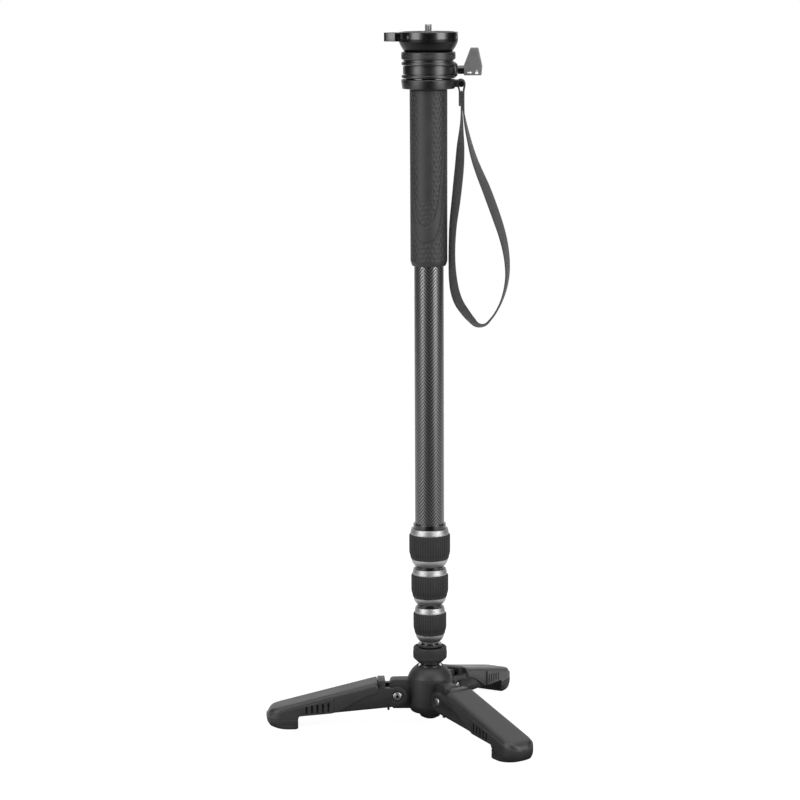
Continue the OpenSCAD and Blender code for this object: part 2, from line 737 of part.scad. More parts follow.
module foot_fitting() {
    spigot = bore_r(4) - seat_clear;
    spigot_top = foot_top + 8;
    groove = foot_r - seal_t * 0.7;
    socket = tube_r(4) + seat_clear;
    color(black) difference() {
        rotate_extrude() polygon([[0, foot_z], [foot_r, foot_z], [foot_r, seal_z - seal_t / 2], [groove, seal_z - seal_t / 2],
            [groove, seal_z + seal_t / 2], [foot_r, seal_z + seal_t / 2], [foot_r, foot_top], [socket, foot_top],
            [socket, tube_end(4)], [spigot, tube_end(4)], [spigot, spigot_top], [0, spigot_top]]);
        translate([0, 0, foot_z - 1]) cylinder(r = stud_r + seat_clear, h = spigot_top - foot_z + 2);
    }
}

module ring_seal() {
    thick_r = seal_t / 2 - seat_clear;
    color(black) translate([0, 0, seal_z]) rotate_extrude()
        translate([foot_r - seal_t * 0.7 + seat_clear + thick_r, 0]) circle(r = thick_r);
}

module base_collar() {
    bore = foot_r + run_clear;
    neck_bore = neck_r + run_clear;
    shoulder = base_collar_z + 4.5;
    top = base_collar_z + base_collar_h;
    dish = 1.2;
    color(black) rotate_extrude() polygon([[neck_bore, base_collar_z], [base_collar_low_r, base_collar_z],
        [base_collar_r, shoulder], [base_collar_r, top - 0.8], [base_collar_r - 0.8, top], [bore + 2.2, top],
        [bore + 1.4, top - dish], [bore, top - dish], [bore, foot_z - free_clear], [neck_bore, foot_z - free_clear]]);
}

module ball_stem() {
    color(silver) {
        intersection() {
            translate([0, 0, ball_z]) sphere(r = ball_r);
            translate([0, 0, ball_z - ball_r]) cylinder(r = ball_r, h = ball_r + ball_flat);
        }
        translate([0, 0, ball_top - 1]) cylinder(r = neck_r, h = foot_z - ball_top + 1);
        translate([0, 0, foot_z - 1]) cylinder(r = stud_r, h = stud_l + 1);
    }
}

module ball_seat() {
    rim = 3;
    color("#d9d6cc") difference() {
        translate([0, 0, seat_z]) cylinder(r = seat_r, h = seat_depth - rim);
        translate([0, 0, ball_z]) sphere(r = ball_r + run_clear);
    }
}

module seat_springs() {
    plate = 0.8;
    cone = spring_h / 2 - plate - seat_clear;
    in = 7;
    out = seat_r - 1;
    color(silver) translate([0, 0, spring_z + spring_h / 2])
        for (s = [-1, 1])
            rotate_extrude() polygon([[in, s * seat_clear / 2], [out, s * (cone + seat_clear / 2)],
                [out, s * (cone + plate)], [in, s * plate]]);
}

// The side outline of a tongue, from the pin
module tongue() {
    reach = fork_r - free_clear;
    top = arc([0, 0], reach, 68, 80, 3);
    side(concat([[-pin_reach / 2, reach * sin(80)]], [for (i = [3:-1:0]) top[i]],
        [[7.4, 7.4], [8.2, 3], [8.2, -3], [6, -9], [3.5, -12.6], [-pin_reach / 2, -tongue_low]]), tongue_w);
}

module hub() {
    foot_chamfer = [3, 5];
    color(black) difference() {
        union() {
            intersection() {
                translate([0, 0, hub_z]) cylinder(r = hub_r, h = dome_z + dome_r);
                translate([0, 0, dome_z]) sphere(r = dome_r);
                rotate_extrude() polygon([[0, hub_z], [hub_r - foot_chamfer[0], hub_z], [hub_r, hub_z + foot_chamfer[1]],
                    [hub_r, dome_z + dome_r], [0, dome_z + dome_r]]);
            }
            intersection() {
                translate([0, 0, hub_z]) cylinder(r = hub_r - foot_chamfer[0], h = shoulder_z - hub_z - 5);
                cylinder(r = hub_r, h = shoulder_z);
            }
            for (i = [1:LEGS]) at_pin(i) tongue();
        }
        translate([0, 0, hub_z - 1]) cylinder(r = hub_bore, h = ball_z - hub_z + 1);
        translate([0, 0, ball_z]) sphere(r = ball_r + free_clear);
        translate([0, 0, ball_z]) cylinder(r = mouth_r, h = dome_r);
        for (i = [1:LEGS]) at_pin(i) bar_y(pin_d / 2 + seat_clear, tongue_w + 2);
    }
}

module hub_plug() {
    thread = hub_bore - run_clear;
    color(black) rotate_extrude() polygon(concat([[0, plug_z], [plug_r * 0.45, plug_z]],
        [[plug_r * 0.75, plug_z + 1.8], [plug_r * 0.9, plug_z + 4.6], [plug_r, hub_z - 0.5], [thread, hub_z],
            [thread, spring_z], [0, spring_z]]));
}

module hinge_pins() {
    socket_d = 3.4;
    half = arm_w / 2 - 0.2;
    color(silver)
        for (i = [1:LEGS])
            at_pin(i) difference() {
                union() {
                    bar_y(pin_d / 2, 2 * half);
                    for (s = [-1, 1])
                        translate([0, s * (half - pin_head_t / 2), 0]) bar_y(pin_head_d / 2, pin_head_t);
                }
                translate([0, half, 0]) rotate([90, 0, 0]) cylinder(d = socket_d, h = 3, center = true, $fn = 6);
            }
}

// Legs

// The arm's outline behind the cover, from the pin; grow widens it for the cover's hollow
function arm_outline(grow, low) = [[0, ear_top + grow], [cover_in + 6, ear_top + grow],
    [arm_end + grow, under(arm_end) + 10 + grow], [arm_end + grow, under(arm_end) - low], [under_in[0], under_in[1] - low],
    [0, -ear_r]];

module leg_arm(i) {
    slot_w_in = tongue_w + 2 * free_clear;
    head_bore = pin_head_d / 2 + free_clear;
    color(dark) at_pin(i) difference() {
        union() {
            bar_y(ear_r, arm_w);
            side(arm_outline(0, 0), arm_w);
            translate([cover_in - free_clear - catch_l, -catch_w / 2, 0]) cube([catch_l, catch_w, cover_top - pin_z + 0.8]);
            for (s = [-1, 1])
                translate([under_in[0], s * (arm_w / 2 - 3.4), under_in[1]])
                    cube([stop_tab[0], 2.4, 2 * stop_tab[1]], center = true);
        }
        bar_y(fork_r, slot_w_in);
        translate([-fork_r, -slot_w_in / 2, -fork_r]) cube([fork_r, slot_w_in, 2 * fork_r]);
        intersection() {
            bar_y(fold_r, slot_w_in);
            translate([0, 0, -fold_r - fold_low]) cube([2 * fold_r, slot_w_in, 2 * fold_r], center = true);
        }
        bar_y(pin_d / 2 + run_clear, arm_w + 2);
        for (s = [-1, 1])
            translate([0, s * (arm_w / 2 - 0.2), 0]) bar_y(head_bore, 2 * (pin_head_t + free_clear));
    }
}

// A plan with round corners at the leg's tip, from x to the tip
module tip_plan(x, tip, w, r, h) {
    linear_extrude(h) {
        translate([x, -w / 2]) square([tip - r - x, w]);
        translate([x, r - w / 2]) square([tip - x, w - 2 * r]);
        for (s = [-1, 1]) translate([tip - r, s * (w / 2 - r)]) circle(r = r);
    }
}

// The cover's straight top falls towards the nose
nose_top = [nose_x + 2, nose_z + sqrt(pow(nose_r, 2) - 4)];
cover_fall = atan2(nose_top[1] - cover_top, nose_top[0] - cover_x);
function cover_line(x) = cover_top + (x - cover_x) * tan(cover_fall);
toe_r = 12.5;

// A long bar with round upper edges that follows the cover's top
module cover_section() {
    l = tip_reach;
    translate([cover_x, 0, cover_top]) rotate([0, -cover_fall, 0]) translate([-l / 2, 0, 0]) rotate([90, 0, 90])
        linear_extrude(2 * l) {
            translate([-cover_w / 2, -l]) square([cover_w, l - edge_r]);
            translate([edge_r - cover_w / 2, -l]) square([cover_w - 2 * edge_r, l]);
            for (s = [-1, 1]) translate([s * (cover_w / 2 - edge_r), -edge_r]) circle(r = edge_r);
        }
}

module leg_cover(i) {
    edge = pin_z + under(arm_end);
    swoop = [[55, 0.3], [45, 5], [34, 10.6], [26, 13.1], [20, 14.4], [cover_in, 16.3]];
    slot_x = pad_in - 7.5;
    panel_x = slot_x - (slot_count - 1) * slot_pitch - 4.4;
    panel_w = cover_w + 2 * panel_out;
    foot_line = [[pad_in, pad_h], [pad_in - 1, edge]];
    outline = concat([[cover_x, cover_top]], arc([nose_x, nose_z], nose_r, acos(2 / nose_r), 0, 6), [[tip_reach, pad_h]], foot_line,
        [for (p = swoop) [pin_reach + p[0], pin_z + under(p[0]) + p[1]]]);
    panel = concat([[panel_x, cover_line(panel_x) - panel_drop], [nose_x, cover_line(nose_x) - panel_drop]],
        [[tip_reach, nose_z + 2], [tip_reach, pad_h]], foot_line, [[panel_x, pin_z + under(panel_x - pin_reach) + 0.3]]);
    color(dark) on_leg(i) difference() {
        union() {
            intersection() {
                side(outline, cover_w);
                tip_plan(cover_x - 1, tip_reach - panel_out, cover_w, toe_r, cover_top + 1);
                cover_section();
            }
            intersection() {
                side(panel, panel_w);
                tip_plan(panel_x - 1, tip_reach, panel_w, toe_r + panel_out, cover_top);
            }
        }
        translate([pin_reach, 0, pin_z]) side(arm_outline(seat_clear, 20), arm_w + 2 * seat_clear);
        for (n = [0:slot_count - 1], s = [-1, 1])
            let(x = slot_x - n * slot_pitch, z = pin_z + under(x - pin_reach) + 2, h = 6.6 + n * 0.45)
            translate([x, s * panel_w / 2, z + h / 2]) cube([slot_w, 2 * slot_d, h], center = true);
    }
}

module foot_pad(i) {
    heel = 1;
    outline = [[pad_in, heel], [pad_in + heel, 0], [tip_reach - 7, 0], [tip_reach - 3, pad_h * 0.2],
        [tip_reach - 0.8, pad_h * 0.55], [tip_reach, pad_h - seat_clear], [pad_in, pad_h - seat_clear]];
    color(black) on_leg(i) intersection() {
        side(outline, pad_w);
        tip_plan(pad_in - 1, tip_reach, pad_w, toe_r + panel_out, pad_h);
    }
}

camera_screw();
top_pad();
platform_plate();
rim_grub_screws();
level_vial();
half_ball();
tension_bolt();
pull_washer();
seat_liner();
cup_ring();
head_housing();
knob_shaft();
lock_paddle();
brake_shoe();
head_mount_bolt();
strap_collar();
lug_bar();
wrist_strap();
tube_plug();
grip();
tube(1);  // tube_1
tube(2);  // tube_2
tube(3);  // tube_3
tube(4);  // tube_4
end_fitting(1);  // end_fitting_1
end_fitting(2);  // end_fitting_2
end_fitting(3);  // end_fitting_3
collet(1);  // collet_1
collet(2);  // collet_2
collet(3);  // collet_3
lock_nut(1);  // lock_nut_1
lock_nut(2);  // lock_nut_2
lock_nut(3);  // lock_nut_3
lock_sleeve(1);  // lock_sleeve_1
lock_sleeve(2);  // lock_sleeve_2
lock_sleeve(3);  // lock_sleeve_3
guide_bush(2);  // guide_bush_2
guide_bush(3);  // guide_bush_3
guide_bush(4);  // guide_bush_4
foot_fitting();
ring_seal();
base_collar();
ball_stem();
ball_seat();
seat_springs();
hub();
hub_plug();
hinge_pins();
leg_arm(1);  // leg_arm_1
leg_arm(2);  // leg_arm_2
leg_arm(3);  // leg_arm_3
leg_cover(1);  // leg_cover_1
leg_cover(2);  // leg_cover_2
leg_cover(3);  // leg_cover_3
foot_pad(1);  // foot_pad_1
foot_pad(2);  // foot_pad_2
foot_pad(3);  // foot_pad_3
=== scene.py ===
# %% [markdown]
# # A camera monopod, dressed for a studio picture
# The solids of the monopod come ready made: tubes, locks, head, hub and legs, each in its own place.
# This lesson gives them their looks. Some solids only need a finish, and others are made again with
# finer forms: ribs, threads, knurls, a dimpled grip and a woven strap. The pieces' sizes are in millimetres
# until the last moment, when a mesh is written in metres.

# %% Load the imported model
import math

import bmesh
import bpy
import numpy as np
from mathutils import Matrix, Vector


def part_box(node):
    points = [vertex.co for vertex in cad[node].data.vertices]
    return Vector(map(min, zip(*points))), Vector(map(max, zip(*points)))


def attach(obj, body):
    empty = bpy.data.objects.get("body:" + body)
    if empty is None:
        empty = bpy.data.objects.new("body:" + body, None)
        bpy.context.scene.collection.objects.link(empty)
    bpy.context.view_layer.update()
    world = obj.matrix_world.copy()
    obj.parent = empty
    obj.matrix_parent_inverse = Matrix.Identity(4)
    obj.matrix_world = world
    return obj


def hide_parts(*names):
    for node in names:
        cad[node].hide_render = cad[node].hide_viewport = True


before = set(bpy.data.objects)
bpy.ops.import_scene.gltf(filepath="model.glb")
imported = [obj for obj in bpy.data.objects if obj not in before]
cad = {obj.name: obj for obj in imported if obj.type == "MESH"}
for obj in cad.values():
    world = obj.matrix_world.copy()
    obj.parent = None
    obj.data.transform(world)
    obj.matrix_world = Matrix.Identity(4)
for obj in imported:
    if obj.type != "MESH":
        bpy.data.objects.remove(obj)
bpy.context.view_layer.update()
MM = 0.001
TUBE_R, TUBE_STEP = 13.0, 1.75  # the main tube's radius, and what each tube inside it loses
scene = bpy.context.scene
scene.view_settings.view_transform = "Standard"

# %% [markdown]
# ## The camera
# A tall thin thing is best pictured from far away with a long lens, so that its sides stay parallel.
# The camera stands a little above the head and looks down by under ten degrees, which opens the tops of
# the legs. A small roll about the line of sight levels the column.

# %% Camera
CAMERA_AT = Vector((-25.9, -2297.7, 684.6)) * MM
LOOK_DOWN = 0.16793
ROLL = -0.00454
camera_data = bpy.data.cameras.new("studio_camera")
camera_data.sensor_width = 36
camera_data.lens = 118.68
camera = bpy.data.objects.new("studio_camera", camera_data)
scene.collection.objects.link(camera)
camera.matrix_world = (
    Matrix.Translation(CAMERA_AT)
    @ Matrix.Rotation(math.pi / 2 - LOOK_DOWN, 4, "X")
    @ Matrix.Rotation(ROLL, 4, "Z")
)
scene.camera = camera
print("camera:", [round(x, 3) for x in camera.location])

# %% [markdown]
# ## Small helpers for shaders
# Node trees are wordy to build by hand. `put` makes one node, sets its properties, and fills its inputs
# with either plain values or links. `maths` and `colour_mix` are short ways to its two most used nodes.
# `shader_group` starts a reusable group with named sockets, and `fill` links its outputs.


# %% Shader helpers
def put(tree, kind, inputs=None, **properties):
    made = tree.nodes.new(kind)
    for name, value in properties.items():
        setattr(made, name, value)
    for key, value in (inputs or {}).items():
        if isinstance(value, bpy.types.NodeSocket):
            tree.links.new(value, made.inputs[key])
        else:
            made.inputs[key].default_value = value
    return made


def maths(tree, operation, a, b=0.0):
    return put(tree, "ShaderNodeMath", {0: a, 1: b}, operation=operation).outputs[0]


def colour_mix(tree, share, first, second, **properties):
    mix = put(tree, "ShaderNodeMix", {0: share, 6: first, 7: second}, data_type="RGBA", **properties)
    return mix.outputs[2]


def shader_group(name, inputs, outputs):
    group = bpy.data.node_groups.new(name, "ShaderNodeTree")
    for label, value in inputs:
        socket = group.interface.new_socket(label, in_out="INPUT", socket_type="NodeSocketFloat")
        socket.default_value = value
    for label in outputs:
        group.interface.new_socket(label, in_out="OUTPUT", socket_type="NodeSocketFloat")
    start = group.nodes.new("NodeGroupInput")
    end = group.nodes.new("NodeGroupOutput")
    return group, start.outputs, end.inputs


def fill(group, socket_shades, **values):
    for label, value in values.items():
        group.links.new(value, socket_shades[label])


# %% [markdown]
# ## Surface effects shared by several finishes
# Four groups cover most of this object. *Fine grain* is the small unevenness of coated metal, moulded
# plastic and rubber. *Turned lines* are the rings that a lathe leaves. *Braid* is the crossing of the
# carbon strands, worked out from the angle round the tube and the height. *Handling* is the faint
# cloudiness of dust and touch that keeps black from looking painted on.

# %% Fine grain and handling
grain_group, g_in, g_out = shader_group("fine_grain", [("Scale", 900.0)], ["Height"])
where = put(grain_group, "ShaderNodeTexCoord").outputs["Object"]
fine = put(grain_group, "ShaderNodeTexNoise", {"Vector": where, "Scale": g_in["Scale"], "Detail": 2.0})
fill(grain_group, g_out, Height=fine.outputs[0])

dust_group, d_in, d_out = shader_group("handling", [("Scale", 35.0), ("Contrast", 3.0)], ["Mask"])
where = put(dust_group, "ShaderNodeTexCoord").outputs["Object"]
cloud_inputs = {"Vector": where, "Scale": d_in["Scale"], "Detail": 5.0, "Roughness": 0.65}
cloud = put(dust_group, "ShaderNodeTexNoise", cloud_inputs)
centred = maths(dust_group, "SUBTRACT", cloud.outputs[0], 0.5)
stretched = maths(dust_group, "MULTIPLY", centred, d_in["Contrast"])
mask = put(dust_group, "ShaderNodeMath", {0: stretched, 1: 0.5}, use_clamp=True)
fill(dust_group, d_out, Mask=mask.outputs[0])

# %% Turned lines
turned_group, t_in, t_out = shader_group("turned_lines", [("Lines per Metre", 4000.0)], ["Height"])
where = put(turned_group, "ShaderNodeTexCoord").outputs["Object"]
height = put(turned_group, "ShaderNodeSeparateXYZ", {0: where}).outputs[2]
lines = put(
    turned_group,
    "ShaderNodeTexNoise",
    {"W": maths(turned_group, "MULTIPLY", height, t_in["Lines per Metre"]), "Scale": 1.0, "Detail": 2.0},
    noise_dimensions="1D",
)
fill(turned_group, t_out, Height=lines.outputs[0])

# %% Braid
STRANDS = 28
CHEVRON = 4.0  # a strand passes over this many, and then under as many
braid_group, b_in, b_out = shader_group(
    "carbon_braid",
    [("Strands", float(STRANDS)), ("Cell Height", 0.0032)],
    ["Height", "Over", "Fibre", "Cover", "Crown"],
)
where = put(braid_group, "ShaderNodeTexCoord").outputs["Object"]
axes = put(braid_group, "ShaderNodeSeparateXYZ", {0: where}).outputs
angle = maths(braid_group, "ARCTAN2", axes[1], axes[0])
round_part = maths(braid_group, "MULTIPLY", maths(braid_group, "DIVIDE", angle, 2 * math.pi), b_in["Strands"])
up_part = maths(braid_group, "DIVIDE", axes[2], b_in["Cell Height"])
left_strand = maths(braid_group, "ADD", round_part, up_part)
right_strand = maths(braid_group, "SUBTRACT", round_part, up_part)
left_number = maths(braid_group, "FLOOR", left_strand)
right_number = maths(braid_group, "FLOOR", right_strand)
whole = maths(braid_group, "ADD", left_number, right_number)
turned_on = maths(braid_group, "ADD", whole, CHEVRON / 2)
place = maths(braid_group, "FLOORED_MODULO", turned_on, 2 * CHEVRON)
over = maths(braid_group, "GREATER_THAN", place, CHEVRON - 0.5)


def crown(strand):
    part = maths(braid_group, "FRACT", strand)
    return maths(braid_group, "SINE", maths(braid_group, "MULTIPLY", part, math.pi))


first = crown(left_strand)
second = crown(right_strand)
pick = put(braid_group, "ShaderNodeMix", {0: over, 2: first, 3: second}).outputs[0]
across = put(braid_group, "ShaderNodeMix", {0: over, 2: left_strand, 3: right_strand}).outputs[0]
fibres_across = maths(braid_group, "MULTIPLY", across, 9.0)
noise = put(braid_group, "ShaderNodeTexNoise", {"W": fibres_across, "Scale": 1.0}, noise_dimensions="1D")
fibre = noise.outputs[0]
both_low = maths(braid_group, "MAXIMUM", first, second)
strand_relief = maths(braid_group, "MULTIPLY", pick, 0.6)
fibre_relief = maths(braid_group, "MULTIPLY", fibre, 0.25)
relief_of_braid = maths(braid_group, "ADD", strand_relief, fibre_relief)
fill(braid_group, b_out, Height=relief_of_braid, Over=over, Fibre=fibre, Cover=both_low, Crown=pick)
print("shader groups:", [g.name for g in bpy.data.node_groups if g.bl_idname == "ShaderNodeTree"])

# %% [markdown]
# ## The finishes
# Each finish is a Principled shader whose colour is broken up by handling, and whose normal comes from
# grain or turned lines. The real object is nearly all black, so what tells the pieces apart is gloss: the
# anodised head is smooth, the hub and the legs are satin, and rubber is dull.


# %% Finish builder
def finish(name, colour, roughness, metallic=0.0, grain=None, lines=None, dust=0.25, coat=0.0, specular=0.5):
    material = bpy.data.materials.new(name)
    material.use_nodes = True
    tree = material.node_tree
    shader = tree.nodes["Principled BSDF"]
    shader.inputs["Metallic"].default_value = metallic
    shader.inputs["Specular IOR Level"].default_value = specular
    shader.inputs["Coat Weight"].default_value = coat
    shader.inputs["Coat Roughness"].default_value = 0.12
    dusty = put(tree, "ShaderNodeGroup", node_tree=dust_group)
    pale = [min(1.0, c * (1 + dust) + 0.012 * dust) for c in colour]
    tree.links.new(colour_mix(tree, dusty.outputs[0], (*colour, 1), (*pale, 1)), shader.inputs["Base Color"])
    rough = maths(tree, "ADD", maths(tree, "MULTIPLY", dusty.outputs[0], 0.1), roughness - 0.05)
    tree.links.new(rough, shader.inputs["Roughness"])
    if grain:
        scale, strength = grain
        texture = put(tree, "ShaderNodeGroup", node_tree=grain_group)
        texture.inputs["Scale"].default_value = scale
    if lines:
        scale, strength = lines
        texture = put(tree, "ShaderNodeGroup", node_tree=turned_group)
        texture.inputs[0].default_value = scale
    if grain or lines:
        height = texture.outputs["Height"]
        bump = put(tree, "ShaderNodeBump", {"Strength": strength, "Distance": 0.0002, "Height": height})
        tree.links.new(bump.outputs[0], shader.inputs["Normal"])
    return material


# %% Plain finishes
BLACK, LATHE_LINES = (0.002, 0.002, 0.0022), (2500, 0.1)
MATT_BLACK = (0.0025, 0.0025, 0.0027)
anodised = finish("black_anodised", BLACK, 0.24, lines=LATHE_LINES, dust=0.08, specular=0.85)
soot = finish("matt_black_anodised", MATT_BLACK, 0.36, lines=LATHE_LINES, dust=0.08, specular=0.2)
satin = finish("satin_black_cast", (0.015, 0.015, 0.0155), 0.48, grain=(1800, 0.25), specular=0.4)
soft_anodised = finish("soft_black_anodised", BLACK, 0.34, lines=LATHE_LINES, dust=0.08, specular=0.75)
textured = finish("textured_black", (0.005, 0.005, 0.0053), 0.3, grain=(2600, 0.4), dust=0.15, specular=0.6)
shell = finish("leg_shell_satin", (0.021, 0.021, 0.0215), 0.42, grain=(2200, 0.2), specular=0.4)
arm_coat = finish("leg_arm_satin", (0.014, 0.014, 0.0145), 0.46, grain=(1600, 0.25), specular=0.4)
rubber = finish("black_rubber", (0.013, 0.013, 0.0135), 0.6, grain=(1500, 0.3), dust=0.4, specular=0.35)
grip_skin = finish("grip_rubber", (0.019, 0.019, 0.0194), 0.52, grain=(2400, 0.25), dust=0.3, specular=0.4)
bright = finish("bright_turned", (0.36, 0.36, 0.364), 0.45, metallic=1.0, lines=(6000, 0.3), dust=0.1)
steel = finish("plain_steel", (0.33, 0.33, 0.335), 0.34, metallic=1.0, grain=(1200, 0.1), dust=0.1)
pin_steel = finish("bright_pin_steel", (0.55, 0.55, 0.56), 0.3, metallic=1.0, grain=(1200, 0.1), dust=0.1)
polished = finish("polished_ball", (0.7, 0.7, 0.71), 0.12, metallic=1.0, lines=(3000, 0.1), dust=0.05)
paddle_grey = finish("paddle_satin_grey", (0.13, 0.13, 0.133), 0.4, metallic=0.25, grain=(2800, 0.25))
nylon = finish("pale_nylon", (0.7, 0.68, 0.63), 0.5, grain=(900, 0.1))
gloss = finish("gloss_black", (0.004, 0.004, 0.0043), 0.11, lines=(2500, 0.05), dust=0.05, coat=0.3)
marking = finish("white_marking", (0.75, 0.75, 0.75), 0.5, grain=(1500, 0.1), dust=0.1)
print("finishes:", len(bpy.data.materials))

# %% [markdown]
# ## Carbon tube
# The tube's skin is a braid of flat strands under clear lacquer. Where a strand passes over, its fibres
# run one way and catch the light; where it passes under, they run the other way. Each strand goes over four
# and under four, which draws columns of chevrons. Two greys chosen by the braid's *Over* mask, a soft crown
# on each strand, a dark seam beside it and a dark dot where four strands meet give that. The lighter grey of
# the strands that pass over is painted sheen, for the light that their fibres catch; the darkening towards
# each strand's edges, the dark seam and the dark dot are painted shade in the hollows of the braid. The
# lacquer is the shader's coat: it carries most of the shine, and it thins at the seams, so the strands break
# it up.

# %% Carbon finish
# painted sheen: strands that pass over get a lighter grey, for the light that their fibres catch
UNDER_GREY, OVER_SHEEN_GREY = (0.075, 0.075, 0.0763, 1), (0.09, 0.09, 0.0915, 1)
# painted shade: each strand darkens towards its edges to black at the seam, and a dark dot is painted where
# four strands meet
SEAM_SHADE, DOT_SHADE = (0.001, 0.001, 0.001, 1), (0.002, 0.002, 0.0021, 1)
carbon = bpy.data.materials.new("carbon_braid")
carbon.use_nodes = True
tree = carbon.node_tree
shader = tree.nodes["Principled BSDF"]
braid = put(tree, "ShaderNodeGroup", node_tree=braid_group)
strand = colour_mix(tree, braid.outputs["Over"], UNDER_GREY, OVER_SHEEN_GREY)
fibres = colour_mix(tree, 0.35, strand, braid.outputs["Fibre"], blend_type="MULTIPLY")
rounded = maths(tree, "POWER", braid.outputs["Crown"], 3.0)
# painted shade towards each strand's edges, black at the seam between strands
seam_shaded = colour_mix(tree, rounded, SEAM_SHADE, fibres)
gap = put(tree, "ShaderNodeMapRange", {0: braid.outputs["Cover"], 1: 0.25, 2: 0.8, 3: 0.0, 4: 1.0})
shade = colour_mix(tree, gap.outputs[0], DOT_SHADE, seam_shaded)
tree.links.new(shade, shader.inputs["Base Color"])
glow = maths(tree, "ADD", maths(tree, "MULTIPLY", braid.outputs["Crown"], -0.06), 0.34)
tree.links.new(glow, shader.inputs["Roughness"])
weave = put(tree, "ShaderNodeBump", {"Strength": 0.3, "Distance": 0.0005, "Height": braid.outputs["Height"]})
tree.links.new(weave.outputs[0], shader.inputs["Normal"])
shader.inputs["Specular IOR Level"].default_value = 0.2
thickness = maths(tree, "ADD", maths(tree, "MULTIPLY", braid.outputs["Over"], 0.2), 0.8)
lacquer = maths(tree, "MULTIPLY", rounded, thickness)
tree.links.new(lacquer, shader.inputs["Coat Weight"])
shader.inputs["Coat Roughness"].default_value = 0.25
shader.inputs["Coat IOR"].default_value = 2.4
print("carbon: strands cross every", round(2 * math.pi * TUBE_R / STRANDS, 2), "mm round the tube")

# %% [markdown]
# ## Webbing
# The strap is flat nylon webbing: fine ribs run across it, and its two edges are turned in a tighter
# weave. The pattern has to follow the strap round its loop, so it reads a UV map in metres: U runs along
# the strap, V round its section.

# %% Webbing finish
RIB_PITCH, YARN_PITCH = 0.0011, 0.0008  # metres along and across
webbing = bpy.data.materials.new("black_webbing")
webbing.use_nodes = True
tree = webbing.node_tree
shader = tree.nodes["Principled BSDF"]
uv = put(tree, "ShaderNodeSeparateXYZ", {0: put(tree, "ShaderNodeUVMap", uv_map="along").outputs[0]}).outputs
ribs = maths(tree, "SINE", maths(tree, "MULTIPLY", uv[0], 2 * math.pi / RIB_PITCH))
yarns = maths(tree, "SINE", maths(tree, "MULTIPLY", uv[1], 2 * math.pi / YARN_PITCH))
cloth = maths(tree, "MULTIPLY", ribs, yarns)
level = maths(tree, "ADD", maths(tree, "MULTIPLY", cloth, 0.5), 0.5)
tone = colour_mix(tree, level, (0.02, 0.02, 0.021, 1), (0.05, 0.05, 0.051, 1))
tree.links.new(tone, shader.inputs["Base Color"])
shader.inputs["Roughness"].default_value = 0.8
shader.inputs["Sheen Weight"].default_value = 0.25
shader.inputs["Sheen Roughness"].default_value = 0.5
knit = put(tree, "ShaderNodeBump", {"Strength": 0.6, "Distance": 0.0003, "Height": cloth})
tree.links.new(knit.outputs[0], shader.inputs["Normal"])
print("webbing finish ready")

# %% [markdown]
# ## Helpers for meshes
# Most of this object is turned on a lathe. `turned` spins an outline round the column's axis, and
# `eased` first rounds the outline's corners, because a real edge always catches a thin line of light.
# `strips` and `capped` join rings of points, `write` turns points and faces into a mesh in metres, `settled`
# keeps the result of a modifier, `cut` takes a shape away, and `add` puts a finished piece on its body.


# %% Mesh helpers
def write(name, points, faces, sharp=38):
    mesh = bpy.data.meshes.new(name)
    mesh.from_pydata([tuple(float(x) * MM for x in p) for p in points], [], [tuple(f) for f in faces])
    tidy(mesh, sharp)
    return mesh


def tidy(mesh, sharp=38, merge=0.0):
    work = bmesh.new()
    work.from_mesh(mesh)
    if merge:
        bmesh.ops.remove_doubles(work, verts=work.verts, dist=merge)
    bmesh.ops.recalc_face_normals(work, faces=work.faces)
    for face in work.faces:
        face.smooth = True
    for edge in work.edges:
        edge.smooth = edge.calc_face_angle(0.0) < math.radians(sharp)
    work.to_mesh(mesh)
    work.free()


def add(name, mesh, body, slot, material, *replaced):
    made = bpy.data.objects.new(name, mesh)
    scene.collection.objects.link(made)
    mesh.materials.clear()
    mesh.materials.append(material)
    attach(made, body)
    if replaced:
        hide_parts(*replaced)
    print("made", name, "on", body, "with", len(mesh.polygons), "faces")
    return made


def eased(corners, steps=4):
    """Corners are (radius, height, rounding); the outline is closed."""
    out = []
    for i, corner in enumerate(corners):
        p = np.array(corner[:2], float)
        rounding = corner[2] if len(corner) > 2 else 0
        if not rounding:
            out.append(p)
            continue
        before = np.array(corners[i - 1][:2], float) - p
        after = np.array(corners[(i + 1) % len(corners)][:2], float) - p
        reach = min(rounding, 0.45 * np.linalg.norm(before), 0.45 * np.linalg.norm(after))
        a = p + before / np.linalg.norm(before) * reach
        b = p + after / np.linalg.norm(after) * reach
        for k in range(steps + 1):
            t = k / steps
            out.append((1 - t) ** 2 * a + 2 * t * (1 - t) * p + t * t * b)
    return out


def strips(rings, sides, closed=False):
    """Faces between neighbouring rings of points; a closed form joins its last ring to its first."""
    faces = []
    for i in range(rings if closed else rings - 1):
        here, there = i * sides, (i + 1) % rings * sides
        for j in range(sides):
            k = (j + 1) % sides
            faces.append((here + j, there + j, there + k, here + k))
    return faces


def capped(rings, sides):
    """Faces of a form with open rings, and one flat face at each end."""
    first, last = range(sides), range((rings - 1) * sides, rings * sides)
    return strips(rings, sides) + [tuple(reversed(first)), tuple(last)]


def round_rings(rings, angles):
    """Points of rings whose radius changes with the angle; a ring is its radii and its height."""
    return [(r * math.cos(a), r * math.sin(a), z) for radii, z in rings for r, a in zip(radii, angles)]


def spun(outline, segments=144):
    """Points and faces of a closed outline spun round the axis."""
    turns = np.arange(segments) * 2 * math.pi / segments
    points = [(r * math.cos(a), r * math.sin(a), z) for a in turns for r, z in outline]
    return points, strips(segments, len(outline), closed=True)


def turned(name, corners, segments=144, steps=4):
    return write(name, *spun(eased(corners, steps), segments))


def joined(name, *meshes):
    work = bmesh.new()
    for mesh in meshes:
        work.from_mesh(mesh)
    out = bpy.data.meshes.new(name)
    work.to_mesh(out)
    work.free()
    tidy(out)
    return out


